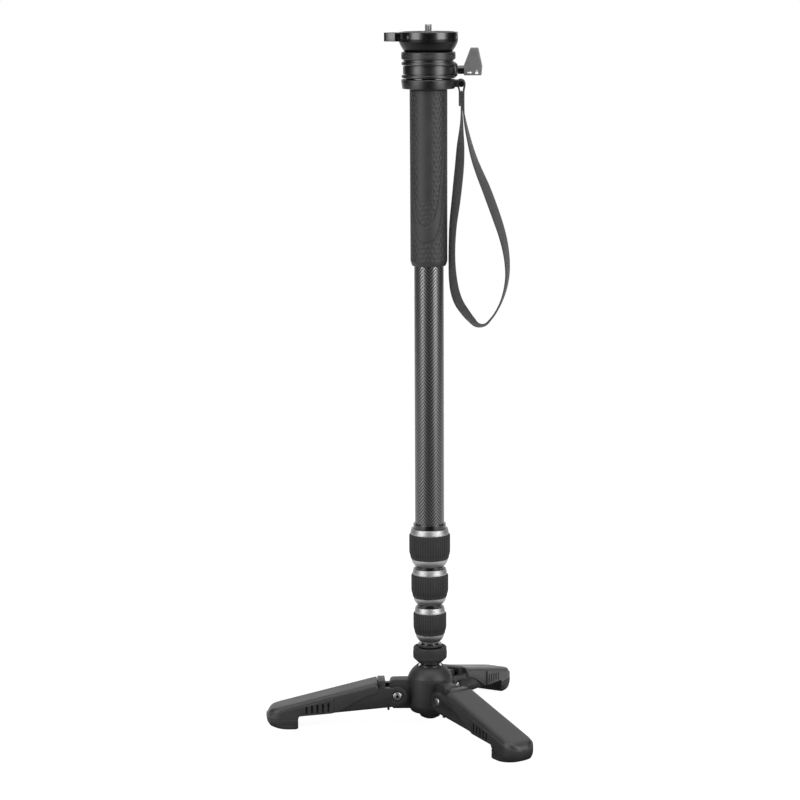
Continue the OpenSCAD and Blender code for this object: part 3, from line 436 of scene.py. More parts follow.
def settled(mesh, *modifiers):
    """The mesh after its modifiers, as a plain mesh."""
    helper = bpy.data.objects.new("helper", mesh)
    scene.collection.objects.link(helper)
    for kind, values in modifiers:
        modifier = helper.modifiers.new(kind, kind)
        for key, value in values.items():
            setattr(modifier, key, value)
    graph = bpy.context.evaluated_depsgraph_get()
    out = bpy.data.meshes.new_from_object(helper.evaluated_get(graph))
    bpy.data.objects.remove(helper)
    return out


def bevel(width, angle=None, segments=3):
    """A Bevel modifier for `settled`; without an angle it eases every edge."""
    limit = {"limit_method": "NONE"}
    if angle is not None:
        limit = {"limit_method": "ANGLE", "angle_limit": math.radians(angle)}
    return "BEVEL", {"width": width * MM, "segments": segments, **limit}


def cut(mesh, *cutters):
    """The mesh without what its cutters cover."""
    helper = bpy.data.objects.new("cutter", joined("cutter", *cutters))
    scene.collection.objects.link(helper)
    out = settled(mesh, ("BOOLEAN", {"object": helper, "operation": "DIFFERENCE", "solver": "EXACT"}))
    bpy.data.objects.remove(helper)
    tidy(out, 35)
    return out


def moved(mesh, matrix):
    out = mesh.copy()
    out.transform(matrix)
    return out


def span(node):
    """A node's lowest and highest corners, in millimetres."""
    low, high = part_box(node)
    return np.array(low) / MM, np.array(high) / MM


# %% [markdown]
# ## Wrist strap
# The strap is one length of webbing. Its tail goes up to the bar, over it and down again, and its far end
# is sewn between the two, so the neck has three layers. The route below lists its points from the bar,
# in millimetres, with the turn of the webbing's width. A smooth curve through them carries a flat section
# with rounded edges. The loop hangs, and twists a little as webbing does.

# %% Strap route
bar_low, bar_high = span("lug_bar")
bar = (bar_low + bar_high) / 2
LAYER = 1.7
LOOP_R = 3.15
over_bar = [(LOOP_R * math.cos(a), 0, LOOP_R * math.sin(a), 0) for a in np.radians(range(180, -1, -30))]
tail = [(0.5, -19.5), (0.5, -15), (0.5, -10), (0.4, -6.5), (-0.6, -3.2)]
front = [(1.2, -3.2), (0.6, -6.5), (0.5, -10), (0.5, -17), (0.6, -24.5)]
hanging_loop = [
    (3, 0, -30, 4), (4.3, 0.5, -37, 10), (7.2, 1, -50, 18), (12, 1.5, -67, 30), (16.8, 2, -79.5, 40),
    (21.2, 2.5, -90, 47), (26.5, 3, -104, 50), (31.5, 3, -118, 48), (36, 3, -132, 41), (39, 3, -145, 33),
    (40.5, 2.5, -157, 26), (40.6, 2, -168, 20), (39, 1.5, -179, 15), (36, 1, -189, 10), (31.8, 0.5, -198, 8),
    (26.4, 0, -206, 10), (20.5, -0.5, -211.5, 16), (14.5, -1, -211.5, 27), (8.5, -1.5, -206, 40),
    (3, -2, -199, 50), (-1.6, -2.5, -192, 54), (-5, -3, -183, 52), (-7, -3, -172, 44), (-8, -3, -157, 33),
    (-8, -3, -140, 31), (-7, -3, -122, 37), (-4.8, -2.5, -104, 46), (-2.9, -2, -87, 50),
    (-1.3, -1.5, -70, 48), (-0.4, -1, -54, 36), (0.2, -0.5, -42, 18), (0.6, 0, -32, 6)]
sewn_end = [(0.5, 0, z, 0) for z in (-24.5, -17, -11, -6.8)]
strap_route = [(x - LAYER, 0, z, 0) for x, z in tail] + over_bar + [(x + LAYER, 0, z, 0) for x, z in front]
strap_route += hanging_loop + sewn_end
STRAP_W, STRAP_T = 10.0, 1.5


def run_along(points):
    """How far along its line each point is."""
    gaps = np.linalg.norm(np.diff(points, axis=0), axis=1)
    return np.concatenate([[0], np.cumsum(gaps)])


def smooth_through(rows, parts):
    """Points on a smooth curve through the rows, with even speed between neighbours."""
    rows = np.array(rows, float)
    at = run_along(rows[:, :3])
    slope = np.gradient(rows, at, axis=0)
    out = []
    for i in range(len(rows) - 1):
        h = at[i + 1] - at[i]
        for k in range(parts):
            t = k / parts
            out.append(
                (2 * t**3 - 3 * t**2 + 1) * rows[i]
                + (t**3 - 2 * t**2 + t) * h * slope[i]
                + (3 * t**2 - 2 * t**3) * rows[i + 1]
                + (t**3 - t**2) * h * slope[i + 1]
            )
    return np.array(out + [rows[-1]])


line = smooth_through(strap_route, 4)
centres = line[:, :3] + bar
run = run_along(centres)
print("strap:", len(centres), "rings,", round(run[-1], 1), "mm long")

# %% Strap mesh
EDGE_BEND = [(0.9, 0), (0.25, 0.2), (0, 0.5)]  # what an edge's rounding takes off the width and thickness
section = []
for sx, sz in ((1, -1), (1, 1), (-1, 1), (-1, -1)):
    edge_points = EDGE_BEND if sx != sz else reversed(EDGE_BEND)
    section += [(sx * (STRAP_W / 2 - dx), sz * (STRAP_T / 2 - dz)) for dx, dz in edge_points]
sides = len(section)
around = run_along(section + section[:1])
tangent = np.gradient(centres, axis=0)
tangent /= np.linalg.norm(tangent, axis=1)[:, None]
outward = np.cross(tangent, [0, 1, 0])
outward /= np.linalg.norm(outward, axis=1)[:, None]
back = np.cross(outward, tangent)
turn = np.radians(line[:, 3])[:, None]
wide = back * np.cos(turn) + outward * np.sin(turn)
thick = np.cross(wide, tangent)
points = [centres[i] + wide[i] * q[0] + thick[i] * q[1] for i in range(len(centres)) for q in section]
strap_mesh = bpy.data.meshes.new("wrist_strap_webbing")
strap_mesh.from_pydata([tuple(p * MM) for p in points], [], capped(len(centres), sides))
strap_uv = strap_mesh.uv_layers.new(name="along")
for polygon in strap_mesh.polygons:
    for loop in polygon.loop_indices:
        ring, spot = divmod(strap_mesh.loops[loop].vertex_index, sides)
        wraps = polygon.loop_total == 4 and spot == 0 and any(
            strap_mesh.loops[k].vertex_index % sides == sides - 1 for k in polygon.loop_indices)
        strap_uv.data[loop].uv = (run[ring] * MM, around[sides if wraps else spot] * MM)
tidy(strap_mesh, 60)
strap = add("strap_webbing", strap_mesh, "section_1", "webbing", webbing, "wrist_strap")

# %% [markdown]
# ## Studio
# The picture has a white ground with no horizon. A wide floor takes the object's soft shadow, and the world
# behind is white to the camera and to reflections. Two tall soft boxes stand left and right, so that each
# black cylinder shows two pale stripes with a dark middle. Dark cards behind the camera, on the floor and at
# the sides, which show only in reflections, keep that middle and the edges dark. The small card under the
# object is
# a painted shadow: it puts the shade under the legs into reflections. A soft box above lights the tops.


# %% World and floor
def seen_plainly(tree):
    path = put(tree, "ShaderNodeLightPath").outputs
    seen = maths(tree, "MAXIMUM", path["Is Camera Ray"], path["Is Glossy Ray"])
    return maths(tree, "MAXIMUM", seen, path["Is Transmission Ray"])


def level_square(x0, x1, y0, y1, z):
    return [(x0, y0, z), (x1, y0, z), (x1, y1, z), (x0, y1, z)]


world = bpy.data.worlds.new("white_room")
scene.world = world
world.use_nodes = True
tree = world.node_tree
tree.nodes.clear()
dim = put(tree, "ShaderNodeBackground", {"Color": (1, 1, 1, 1), "Strength": 0.35})
white = put(tree, "ShaderNodeBackground", {"Color": (1, 1, 1, 1), "Strength": 1.0})
both = put(tree, "ShaderNodeMixShader", {0: seen_plainly(tree), 1: dim.outputs[0], 2: white.outputs[0]})
put(tree, "ShaderNodeOutputWorld", {"Surface": both.outputs[0]})

ground = bpy.data.materials.new("pale_floor")
ground.use_nodes = True
tree = ground.node_tree
tree.nodes.clear()
plain = put(tree, "ShaderNodeBsdfDiffuse", {"Color": (0.8, 0.8, 0.8, 1)})
shadow = put(tree, "ShaderNodeBsdfDiffuse", {"Color": (0.22, 0.22, 0.22, 1)})
lift = put(tree, "ShaderNodeEmission", {"Color": (1, 1, 1, 1), "Strength": 0.935})
shown = put(tree, "ShaderNodeAddShader", {0: shadow.outputs[0], 1: lift.outputs[0]})
both = put(tree, "ShaderNodeMixShader", {0: seen_plainly(tree), 1: plain.outputs[0], 2: shown.outputs[0]})
put(tree, "ShaderNodeOutputMaterial", {"Surface": both.outputs[0]})
FLOOR_HALF, FLOOR_Z, CARD_Z = 9000, -0.3, -0.2
floor_corners = level_square(-FLOOR_HALF, FLOOR_HALF, -FLOOR_HALF, FLOOR_HALF, FLOOR_Z)
floor_mesh = write("studio_floor", floor_corners, [(0, 1, 2, 3)])
floor_mesh.materials.append(ground)
floor = bpy.data.objects.new("studio_floor", floor_mesh)
scene.collection.objects.link(floor)


# %% Lamps
def soft_box(name, at, aim, wide_m, tall_m, brightness):
    lamp = bpy.data.lights.new(name, "AREA")
    lamp.shape = "RECTANGLE"
    lamp.size, lamp.size_y = wide_m, tall_m
    lamp.energy = brightness * math.pi * wide_m * tall_m
    holder = bpy.data.objects.new(name, lamp)
    scene.collection.objects.link(holder)
    holder.location = at
    holder.rotation_euler = (Vector(aim) - Vector(at)).to_track_quat("-Z", "Y").to_euler()


soft_box("soft_box_left", (-1.5, -1.2, 0.9), (0, 0, 0.4), 1.1, 1.8, 3.6)
soft_box("soft_box_right", (1.5, -1.2, 0.9), (0, 0, 0.4), 1.1, 1.8, 4.4)
soft_box("soft_box_above", (0, -0.3, 2.3), (0, 0, 0.3), 1.4, 1.4, 3.0)


# %% Dark cards
card_black = finish("card_black", (0.01, 0.01, 0.01), 0.9)


def dark_card(name, corners):
    """A black card that shows only in reflections."""
    mesh = write(name, corners, [(0, 1, 2, 3)])
    mesh.materials.append(card_black)
    card = bpy.data.objects.new(name, mesh)
    scene.collection.objects.link(card)
    card.visible_camera = card.visible_diffuse = card.visible_shadow = False


ROOM_X, ROOM_Y = 1900, -3200
front_edges = ((-ROOM_X, -200), (ROOM_X, -200), (ROOM_X, 2600), (-ROOM_X, 2600))
dark_card("dark_card_front", [(x, ROOM_Y, z) for x, z in front_edges])
dark_card("dark_card_floor", level_square(-800, 800, ROOM_Y, -450, CARD_Z))
# painted shadow: a dark card under the object, seen only in reflections, stands in for the shade under the
# legs
dark_card("dark_card_under", level_square(-150, 150, -170, 110, CARD_Z))
side_edges = ((-500, -200), (2200, -200), (2200, 2400), (-500, 2400))
for side_name, x in (("left", -ROOM_X), ("right", ROOM_X)):
    dark_card(f"dark_card_{side_name}", [(x, y, z) for y, z in side_edges])
print("studio ready")

# %% [markdown]
# ## Copies round an axis
# Ribs, ridges and knurls are one small shape many times over. A Geometry Nodes tree turns the copies round
# the column's axis. It ends in Realize Instances and Set Material, and the result is kept as a plain mesh.

# %% Copying tree
round_tree = bpy.data.node_groups.new("copies_round_axis", "GeometryNodeTree")
tree_inputs = {"Shape": "Geometry", "Count": "Int", "First Angle": "Float", "Finish": "Material"}
for label, kind in tree_inputs.items():
    round_tree.interface.new_socket(label, in_out="INPUT", socket_type="NodeSocket" + kind)
round_tree.interface.new_socket("Copies", in_out="OUTPUT", socket_type="NodeSocketGeometry")
r_in = round_tree.nodes.new("NodeGroupInput").outputs
r_out = round_tree.nodes.new("NodeGroupOutput").inputs
spots = put(round_tree, "GeometryNodeMeshLine", {"Count": r_in["Count"], "Offset": (0, 0, 0)})
number = put(round_tree, "GeometryNodeInputIndex").outputs[0]
share = maths(round_tree, "DIVIDE", maths(round_tree, "MULTIPLY", number, 2 * math.pi), r_in["Count"])
about_z = put(round_tree, "ShaderNodeCombineXYZ", {2: maths(round_tree, "ADD", share, r_in["First Angle"])})
as_turn = put(round_tree, "FunctionNodeEulerToRotation", {0: about_z.outputs[0]}).outputs[0]
placing = {"Points": spots.outputs[0], "Instance": r_in["Shape"], "Rotation": as_turn}
placed = put(round_tree, "GeometryNodeInstanceOnPoints", placing)
real = put(round_tree, "GeometryNodeRealizeInstances", {0: placed.outputs[0]})
painting = {"Geometry": real.outputs[0], "Material": r_in["Finish"]}
painted = put(round_tree, "GeometryNodeSetMaterial", painting)
round_tree.links.new(painted.outputs[0], r_out["Copies"])


def copies(name, shape, **values):
    helper = bpy.data.objects.new(name, shape)
    scene.collection.objects.link(helper)
    modifier = helper.modifiers.new("copies", "NODES")
    modifier.node_group = round_tree
    for item in round_tree.interface.items_tree:
        key = item.name.replace(" ", "_").lower()
        if item.item_type == "SOCKET" and item.in_out == "INPUT" and key in values:
            modifier[item.identifier] = values[key]
    graph = bpy.context.evaluated_depsgraph_get()
    out = bpy.data.meshes.new_from_object(helper.evaluated_get(graph))
    helper.modifiers.clear()
    bpy.data.objects.remove(helper)
    out.name = name
    return out


print("copying tree:", round_tree.name)

# %% [markdown]
# ## Twist locks
# Each lock is a bright turned nut with a ribbed rubber sleeve round its middle. The sleeve's body is spun,
# and one rounded rib, which follows the sleeve's outline, is copied round it. The nut's two rings are
# spun with eased edges, so that they catch the light as turned metal does. The fitting at the end of each
# tube, and the one over the foot, are gloss black, spun to the solids' own outline.


# %% Ribs and sleeves
RIB_ROOT, RIB_END = 0.25, 0.55  # how deep a rib is sunk, and what is left of its rise at its two ends


def rib_shape(name, outline, half_wide, rise):
    """A rounded rib that runs along an outline of (radius, height) points, at angle 0."""
    arch = [(math.cos(a), math.sin(a)) for a in np.linspace(math.pi, 0, 7)]
    points = []
    for i, (r, z) in enumerate(outline):
        ease = RIB_END if i in (0, len(outline) - 1) else 1.0
        points += [(r - RIB_ROOT + (rise * ease + RIB_ROOT) * s, half_wide * c, z) for c, s in arch]
    return write(name, points, capped(len(outline), len(arch)), 50)


LOCK_RIBS = {1: 50, 2: 46, 3: 42}
RIB_RISE, RIB_SHARE = 0.62, 0.39  # RIB_SHARE is half a rib's width as a share of the ribs' pitch
for k, count in LOCK_RIBS.items():
    low, high = span(f"lock_sleeve_{k}")
    out_r, z0, z1 = high[0], low[2], high[2]
    core_r = out_r - 2.2
    skin_r = out_r - RIB_RISE
    body = turned(f"lock_sleeve_body_{k}", [
        (core_r, z0), (core_r + 0.45, z0, 0.2), (skin_r - 0.5, z0 + 4.2, 2.0), (skin_r, z0 + 6.2, 1.5),
        (skin_r, z1, 0.3), (core_r, z1)])
    track = [
        (core_r + 0.7, z0 + 0.9), (skin_r - 1.0, z0 + 2.6), (skin_r - 0.45, z0 + 4.3),
        (skin_r - 0.1, z0 + 5.8), (skin_r, z0 + 7.5), (skin_r, z1 - 1.4), (skin_r - 0.1, z1 - 0.45)]
    rib = rib_shape(f"lock_rib_{k}", track, RIB_SHARE * 2 * math.pi * skin_r / count, RIB_RISE)
    ribs = copies(f"lock_ribs_{k}", rib, count=count, first_angle=0.03, finish=rubber)
    sleeve = joined(f"ribbed_sleeve_{k}", body, ribs)
    add(f"ribbed_sleeve_{k}", sleeve, f"lock_{k}", "rubber", rubber, f"lock_sleeve_{k}")

# %% Lock nuts
LOWER_RING, UPPER_RING = 6.3, 5.2  # heights of the nut's two bright rings


def tube_radius(k):
    return TUBE_R - TUBE_STEP * (k - 1)


for k in LOCK_RIBS:
    low, high = span(f"lock_nut_{k}")
    z0, z1 = low[2], high[2]
    tube_r = tube_radius(k)
    inner_r = tube_r - TUBE_STEP
    core_r = tube_r + 3.1
    lower_ring = [
        (inner_r + 0.3, z0), (inner_r + 2.2, z0, 0.4), (core_r - 1.3, z0 + 1.7, 1.0),
        (core_r - 0.2, z0 + 3.7, 1.2), (core_r + 0.38, z0 + LOWER_RING, 0.25), (core_r, z0 + LOWER_RING)]
    upper_ring = [
        (core_r, z1 - UPPER_RING), (tube_r + 4.2, z1 - UPPER_RING, 0.25), (tube_r + 4.2, z1 - 4.2, 0.5),
        (tube_r + 3.3, z1, 0.4)]
    bore_r = tube_r + 1.91
    bore = [(bore_r, z1), (bore_r, z0 + 14), (inner_r + 1.3, z0 + 2.1), (inner_r + 0.3, z0 + 2.1)]
    nut = turned(f"turned_nut_{k}", lower_ring + upper_ring + bore)
    add(f"turned_nut_{k}", nut, f"lock_{k}", "bright_metal", bright, f"lock_nut_{k}")

# %% Gloss fittings above the locks
FIT = 0.02  # room between pieces that seat on each other
SHOULDER_IN, SKIRT_T, COLLAR_T = 1.45, 1.85, 1.6  # how far a fitting goes in and out from its tube's skin
SHOULDER_TALL = 2.0
for k in LOCK_RIBS:
    low, high = span(f"end_fitting_{k}")
    step_z = span(f"lock_nut_{k}")[1][2] - UPPER_RING
    z0, z1 = low[2], high[2]
    tube_r = tube_radius(k)
    fitting = turned(f"gloss_fitting_{k}", [
        (tube_r - SHOULDER_IN, z0), (tube_r + SKIRT_T, z0), (tube_r + SKIRT_T, step_z),
        (tube_r + COLLAR_T, step_z), (tube_r + COLLAR_T, z1, 0.4), (tube_r + FIT, z1),
        (tube_r + FIT, z0 + SHOULDER_TALL), (tube_r - SHOULDER_IN, z0 + SHOULDER_TALL)])
    add(f"gloss_fitting_{k}", fitting, f"section_{k}", "black_metal", gloss, f"end_fitting_{k}")

# %% Gloss fitting over the foot
TUBE_WALL, STEM_R, FOOT_FLOOR, PLUG_RISE, SEAL_DEEP = 1.2, 5.0, 2.5, 8.0, 1.05
low, high = span("foot_fitting")
seal_low, seal_high = span("ring_seal")
f0, f1, f_r = low[2], high[2], high[0]
g0, g1, groove_r = seal_low[2] - FIT, seal_high[2] + FIT, f_r - SEAL_DEEP
stem_hole, tube_out, tube_in = STEM_R + FIT, tube_radius(4) + FIT, tube_radius(4) - TUBE_WALL - FIT
skirt_top, tube_end = f1 - PLUG_RISE, f0 + FOOT_FLOOR
foot = turned("gloss_foot", [
    (stem_hole, f0), (f_r, f0), (f_r, g0), (groove_r, g0), (groove_r, g1), (f_r, g1, 0.15),
    (f_r, skirt_top, 0.5), (tube_out, skirt_top), (tube_out, tube_end), (tube_in, tube_end),
    (tube_in, f1, 0.3), (stem_hole, f1)])
add("gloss_foot", foot, "lower", "black_metal", gloss, "foot_fitting")

# %% [markdown]
# ## Grip
# The rubber grip has two nested U-shaped grooves on its front, with a smooth band between them, and shallow
# round dimples inside the inner U and over the rest. The grip is a fine grid round the tube. Each point is
# pushed in by an amount worked out from its angle and height: a narrow groove where it is near a U, a dimple
# where it is near a spot of a staggered pattern. The middle of the front stays smooth.

# %% Grip relief
grip_low, grip_high = span("grip")
GRIP_R = grip_high[0]
GRIP_FRONT = math.radians(-90 - 12.4)
# each groove is half a U: degrees from the middle of the front, and height
U_IN = [(0, 449.7), (12, 451.2), (23.4, 455.2), (35.9, 464.6), (47, 479),
        (56.3, 496.3), (63, 511.7), (67, 530), (69, 550), (70, 566)]
U_OUT = [(0, 435.1), (12, 435.8), (23.4, 437.9), (43.6, 446.9), (57.2, 459.6),
         (66.9, 475.8), (73.5, 495.6), (78, 515), (80, 540), (81, 566)]
GROOVE_DEEP, GROOVE_WIDE = 0.75, 0.6
DIMPLE_DEEP, DIMPLE_WIDE, DIMPLES_ROUND = 0.45, 1.05, 22
SMOOTH_HALF, SMOOTH_LOW = math.radians(24), 472  # the part of the front without dimples
ROUND, TALL = 264, 312


def groove_line(bends):
    return smooth_through([(math.radians(a) * GRIP_R, z, 0) for a, z in bends], 8)[:, :2]


angles = np.arange(ROUND) * 2 * math.pi / ROUND - math.pi
heights = np.linspace(grip_low[2] + 4.8, grip_high[2] - 1.6, TALL)
side_mm = np.abs(angles) * GRIP_R
S, Z = np.meshgrid(side_mm, heights)
relief = np.zeros_like(S)
inside = {}
for key, bends in (("in", U_IN), ("out", U_OUT)):
    track = groove_line(bends)
    far = np.full(S.shape, 1e9)
    for s, z in track:
        far = np.minimum(far, (S - s) ** 2 + (Z - z) ** 2)
    relief -= GROOVE_DEEP * np.exp(-far / GROOVE_WIDE**2)
    half = np.interp(Z, track[:, 1], track[:, 0])
    inside[key] = (S < half) & (Z > track[0, 1])
PITCH_S, PITCH_Z = 2 * math.pi * GRIP_R / DIMPLES_ROUND, 4.2
rows_up = np.floor((Z - heights[0]) / PITCH_Z)
columns = angles * GRIP_R / PITCH_S + 0.5 * (rows_up % 2)
near_s = (columns - np.floor(columns) - 0.5) * PITCH_S
near_z = (Z - heights[0]) - (rows_up + 0.5) * PITCH_Z
dimple = np.exp(-(near_s**2 + near_z**2) / DIMPLE_WIDE**2)
smooth_front = (S < SMOOTH_HALF * GRIP_R) & (Z > SMOOTH_LOW)
dimpled = (inside["in"] & ~smooth_front) | ~inside["out"]
relief -= DIMPLE_DEEP * dimple * dimpled
print("grip relief from", round(relief.min(), 2), "to", round(relief.max(), 2), "mm")

# %% Grip mesh
taper = np.interp(heights, [heights[0], heights[-1]], [GRIP_R - 0.2, GRIP_R])
bore_r = TUBE_R + FIT
flat = np.zeros(ROUND)
z0, z1 = grip_low[2], grip_high[2]
lower_lip = [(bore_r, z0), (GRIP_R - 1.9, z0), (GRIP_R - 1.5, z0 + 0.3), (GRIP_R - 0.45, z0 + 3.4)]
upper_lip = [(GRIP_R - 0.3, z1 - 0.6), (GRIP_R - 0.8, z1), (bore_r, z1)]
rings = [(flat + r, z) for r, z in lower_lip]
rings += [(taper[i] + relief[i], heights[i]) for i in range(TALL)]
rings += [(flat + r, z) for r, z in upper_lip]
grip_points = round_rings(rings, angles + GRIP_FRONT)
grip_mesh = write("dimpled_grip", grip_points, strips(len(rings), ROUND, closed=True), 50)
add("dimpled_grip", grip_mesh, "section_1", "grip_rubber", grip_skin, "grip")

# %% [markdown]
# ## Head
# The head is a stack of turned rings. The platform and the half ball under it meet at a fine line; the cup
# ring below has a finely textured edge; the housing has two raised rings with a bare band between; and the
# strap collar at the bottom widens upwards. Each is spun with eased edges. The tab with the bubble level, the
# boss and the lug are added to their rings.


# %% Block and rod helpers
def rounded_block(name, low, high, rounding, segments=3):
    corners = [(x, y, z) for x in (low[0], high[0]) for y in (low[1], high[1]) for z in (low[2], high[2])]
    faces = [(0, 1, 3, 2), (4, 6, 7, 5), (0, 4, 5, 1), (2, 3, 7, 6), (0, 2, 6, 4), (1, 5, 7, 3)]
    out = settled(write(name, corners, faces), bevel(rounding, segments=segments))
    tidy(out, 50)
    return out


def rod(name, corners, at=(0, 0, 0), direction=(0, 0, 1), segments=64):
    """A spun outline with its axis through a point, along a direction; off the axis it gives a ring."""
    outline = eased([(max(c[0], 1e-4), *c[1:]) for c in corners])
    mesh = write(name, *spun(outline, segments))
    tidy(mesh, 38, 1e-6)
    turn_to = Vector((0, 0, 1)).rotation_difference(Vector(direction)).to_matrix().to_4x4()
    return moved(mesh, Matrix.Translation(Vector(at) * MM) @ turn_to)


def plain_rod(name, radius, low, high, at=(0, 0, 0), direction=(0, 0, 1), segments=64):
    return rod(name, [(0, low), (radius, low), (radius, high), (0, high)], at, direction, segments)


# %% Platform rim
plate_low, plate_high = span("platform_plate")
TOP, RIM = plate_high[2], plate_high[0]
PLATE_T, RIM_BAND, RIM_DROP = 6.1, 2.06, 8.76
BALL_BOSS_R = 18.0  # the half ball's boss, which seats in the plate
PAD_RING_OUT, PAD_RING_IN, PAD_RING_DEEP = 22.37, 8.98, 0.8  # the pad's place in the plate's top
SHANK_R, FLANGE_R, FLANGE_LOW, FLANGE_HIGH = 2.85, 5.0, 2.0, 3.8  # the camera screw inside the plate
part_z = TOP - PLATE_T
rim_z = part_z - RIM_BAND
CENTRE_Z = rim_z + RIM_DROP
boss_hole, shank_hole = BALL_BOSS_R + FIT, SHANK_R + 0.05
boss_top, ring_floor = part_z + FLANGE_HIGH + FIT, TOP - PAD_RING_DEEP
plate = turned("platform_rim", [
    (boss_hole, part_z), (RIM - 0.14, part_z, 0.05), (RIM, part_z + 0.16, 0.06), (RIM, TOP, 0.5),
    (PAD_RING_OUT, TOP, 0.1), (PAD_RING_OUT, ring_floor), (PAD_RING_IN, ring_floor), (PAD_RING_IN, TOP, 0.2),
    (shank_hole, TOP), (shank_hole, boss_top), (boss_hole, boss_top)])
print("platform top at", round(TOP, 2), "mm, half ball centred at", round(CENTRE_Z, 2), "mm")

# %% Tab with the level's pocket
vial_low, vial_high = span("level_vial")
TAB_X = (vial_low[0] + vial_high[0]) / 2
VIAL_R = (vial_high[0] - vial_low[0]) / 2
TAB_HALF, TAB_TIP = 8.2, plate_low[0]
tab_low, tab_high = plate_low[2], vial_high[2]
tab_side = [(-RIM + 3, TAB_HALF), (TAB_X + 1.6, TAB_HALF), (TAB_TIP + 2, VIAL_R), (TAB_TIP, VIAL_R - 2)]
tab_plan = tab_side + [(x, -y) for x, y in reversed(tab_side)]
points = [(x, y, z) for z in (tab_low, tab_high) for x, y in tab_plan]
tab = settled(write("level_tab", points, capped(2, len(tab_plan))), bevel(0.35, 20))
vial_hole = plain_rod("vial_hole", VIAL_R + FIT, 0, 9, (TAB_X, 0, vial_low[2]))
ball_room = plain_rod("ball_room", RIM + 0.06, -9, 0, (0, 0, part_z), segments=144)
tab = cut(cut(tab, vial_hole), ball_room)
print("tab reaches", round(-TAB_TIP, 2), "mm from the axis")

# %% Set-screw holes, and the platform
GRUB_TURNS = (225, 345, 105)
GRUB_ROOM, GRUB_HOLE_DEEP = 1.0, 1.4
grub_low, grub_high = span("rim_grub_screws")
grub_z = (grub_low[2] + grub_high[2]) / 2
hole_r = (grub_high[2] - grub_low[2]) / 2 + GRUB_ROOM
hole_in, hole_out = RIM - GRUB_HOLE_DEEP, RIM + 2
for a in np.radians(GRUB_TURNS):
    hole_corners = [(0, hole_in), (hole_r, hole_in, 0.1), (hole_r, hole_out), (0, hole_out)]
    plate = cut(plate, rod("grub_hole", hole_corners, (0, 0, grub_z), (math.cos(a), math.sin(a), 0)))
add("platform", joined("platform", plate, tab), "platform", "black_metal", anodised, "platform_plate")

# %% Half ball
half_low, half_high = span("half_ball")
BALL_R = math.hypot(RIM, RIM_DROP)
BOLT_BORE_R = 3.02
bowl_turns = np.linspace(math.acos(RIM_DROP / BALL_R), math.acos((CENTRE_Z - half_low[2]) / BALL_R), 14)
bowl = [(BALL_R * math.sin(a), CENTRE_Z - BALL_R * math.cos(a)) for a in bowl_turns]
band_top = part_z - 0.1
half_ball = turned("half_ball_turned", [
    (BOLT_BORE_R, half_low[2]), *reversed(bowl[1:]), (RIM, rim_z, 0.3), (RIM, band_top, 0.06),
    (BALL_BOSS_R, band_top), (BALL_BOSS_R, half_high[2]), (BOLT_BORE_R, half_high[2])])
add("half_ball_turned", half_ball, "platform", "black_metal", soot, "half_ball")

# %% Cup ring with fine ridges
CUP_TALL, CUP_T, CUP_ROOM, SEAT_HOLE_R = 6.8, 2.15, 1.0, 8.0
cup_high = span("cup_ring")[1]
cup_r, cup_z0, cup_z1 = cup_high[0], cup_high[2] - CUP_TALL, cup_high[2]
cup_in, dish_r = BALL_R + CUP_ROOM, cup_r - 5.7
seat_low = CENTRE_Z - math.sqrt(cup_in**2 - SEAT_HOLE_R**2)
seat = [(math.sqrt(cup_in**2 - (CENTRE_Z - z) ** 2), z) for z in np.linspace(cup_z1, seat_low, 10)]
under_r = np.linspace(SEAT_HOLE_R, dish_r, 8)
under = [(r, CENTRE_Z - math.sqrt((cup_in + CUP_T) ** 2 - r * r)) for r in under_r]
ring_body = turned("cup_ring_body", [
    *seat, *under, (dish_r + 0.2, cup_z0), (cup_r - 0.9, cup_z0, 0.2), (cup_r - 0.25, cup_z0 + 0.7, 0.2),
    (cup_r - 0.25, cup_z1 - 0.7, 0.2), (cup_r - 0.9, cup_z1, 0.2)])
ridge_track = [(cup_r - 0.3, z) for z in np.linspace(cup_z0 + 0.75, cup_z1 - 0.75, 3)]
ridge = rib_shape("cup_ridge", ridge_track, 0.27, 0.12)
ridges = copies("cup_ridges", ridge, count=200, first_angle=0.0, finish=textured)
cup_ring = joined("ridged_cup_ring", ring_body, ridges)
add("ridged_cup_ring", cup_ring, "section_1", "dark_metal", textured, "cup_ring")

# %% Housing with its boss
house_low, house_high = span("head_housing")
h0, h1 = house_low[2], house_high[2]
RAIL_R, RAIL_TALL, RAIL_SOFT = -house_low[0], 2.8, 1.2
BAND_R = RAIL_R - 1.2
GROOVE_R, CAVITY_R, BOLT_HOLE_R, HOUSE_FLOOR = BAND_R - 1.2, BAND_R - 3.2, 4.78, 3.6
lower_rail, upper_rail = h0 + RAIL_TALL, h0 + 11.0
band_low, band_high = h0 + 3.7, h0 + 10.1
lip_low, lip_r = upper_rail + RAIL_TALL, BAND_R - 0.4
housing_rings = turned("housing_rings", [
    (BOLT_HOLE_R, h0), (RAIL_R, h0, RAIL_SOFT), (RAIL_R, lower_rail, RAIL_SOFT), (GROOVE_R, lower_rail),
    (GROOVE_R, band_low), (BAND_R, band_low, 0.15), (BAND_R, band_high, 0.15), (GROOVE_R, band_high),
    (GROOVE_R, upper_rail), (RAIL_R, upper_rail, RAIL_SOFT), (RAIL_R, lip_low, RAIL_SOFT), (lip_r, lip_low),
    (lip_r, h1), (CAVITY_R, h1), (CAVITY_R, h0 + HOUSE_FLOOR), (BOLT_HOLE_R, h0 + HOUSE_FLOOR)], steps=6)
KNOB_Z = h0 + 6.9
BOSS_R, BOSS_NOSE_R, SHAFT_HOLE_R = 6.8, 4.8, 3.06
boss_in, boss_out = CAVITY_R + 0.2, house_high[0]
boss = rod("paddle_boss", [
    (SHAFT_HOLE_R, boss_in), (BOSS_R, boss_in), (BOSS_R, boss_out - 2.2, 0.8), (BOSS_NOSE_R, boss_out, 0.5),
    (SHAFT_HOLE_R, boss_out)], (0, 0, KNOB_Z), (1, 0, 0))
housing = joined("housing", housing_rings, boss)
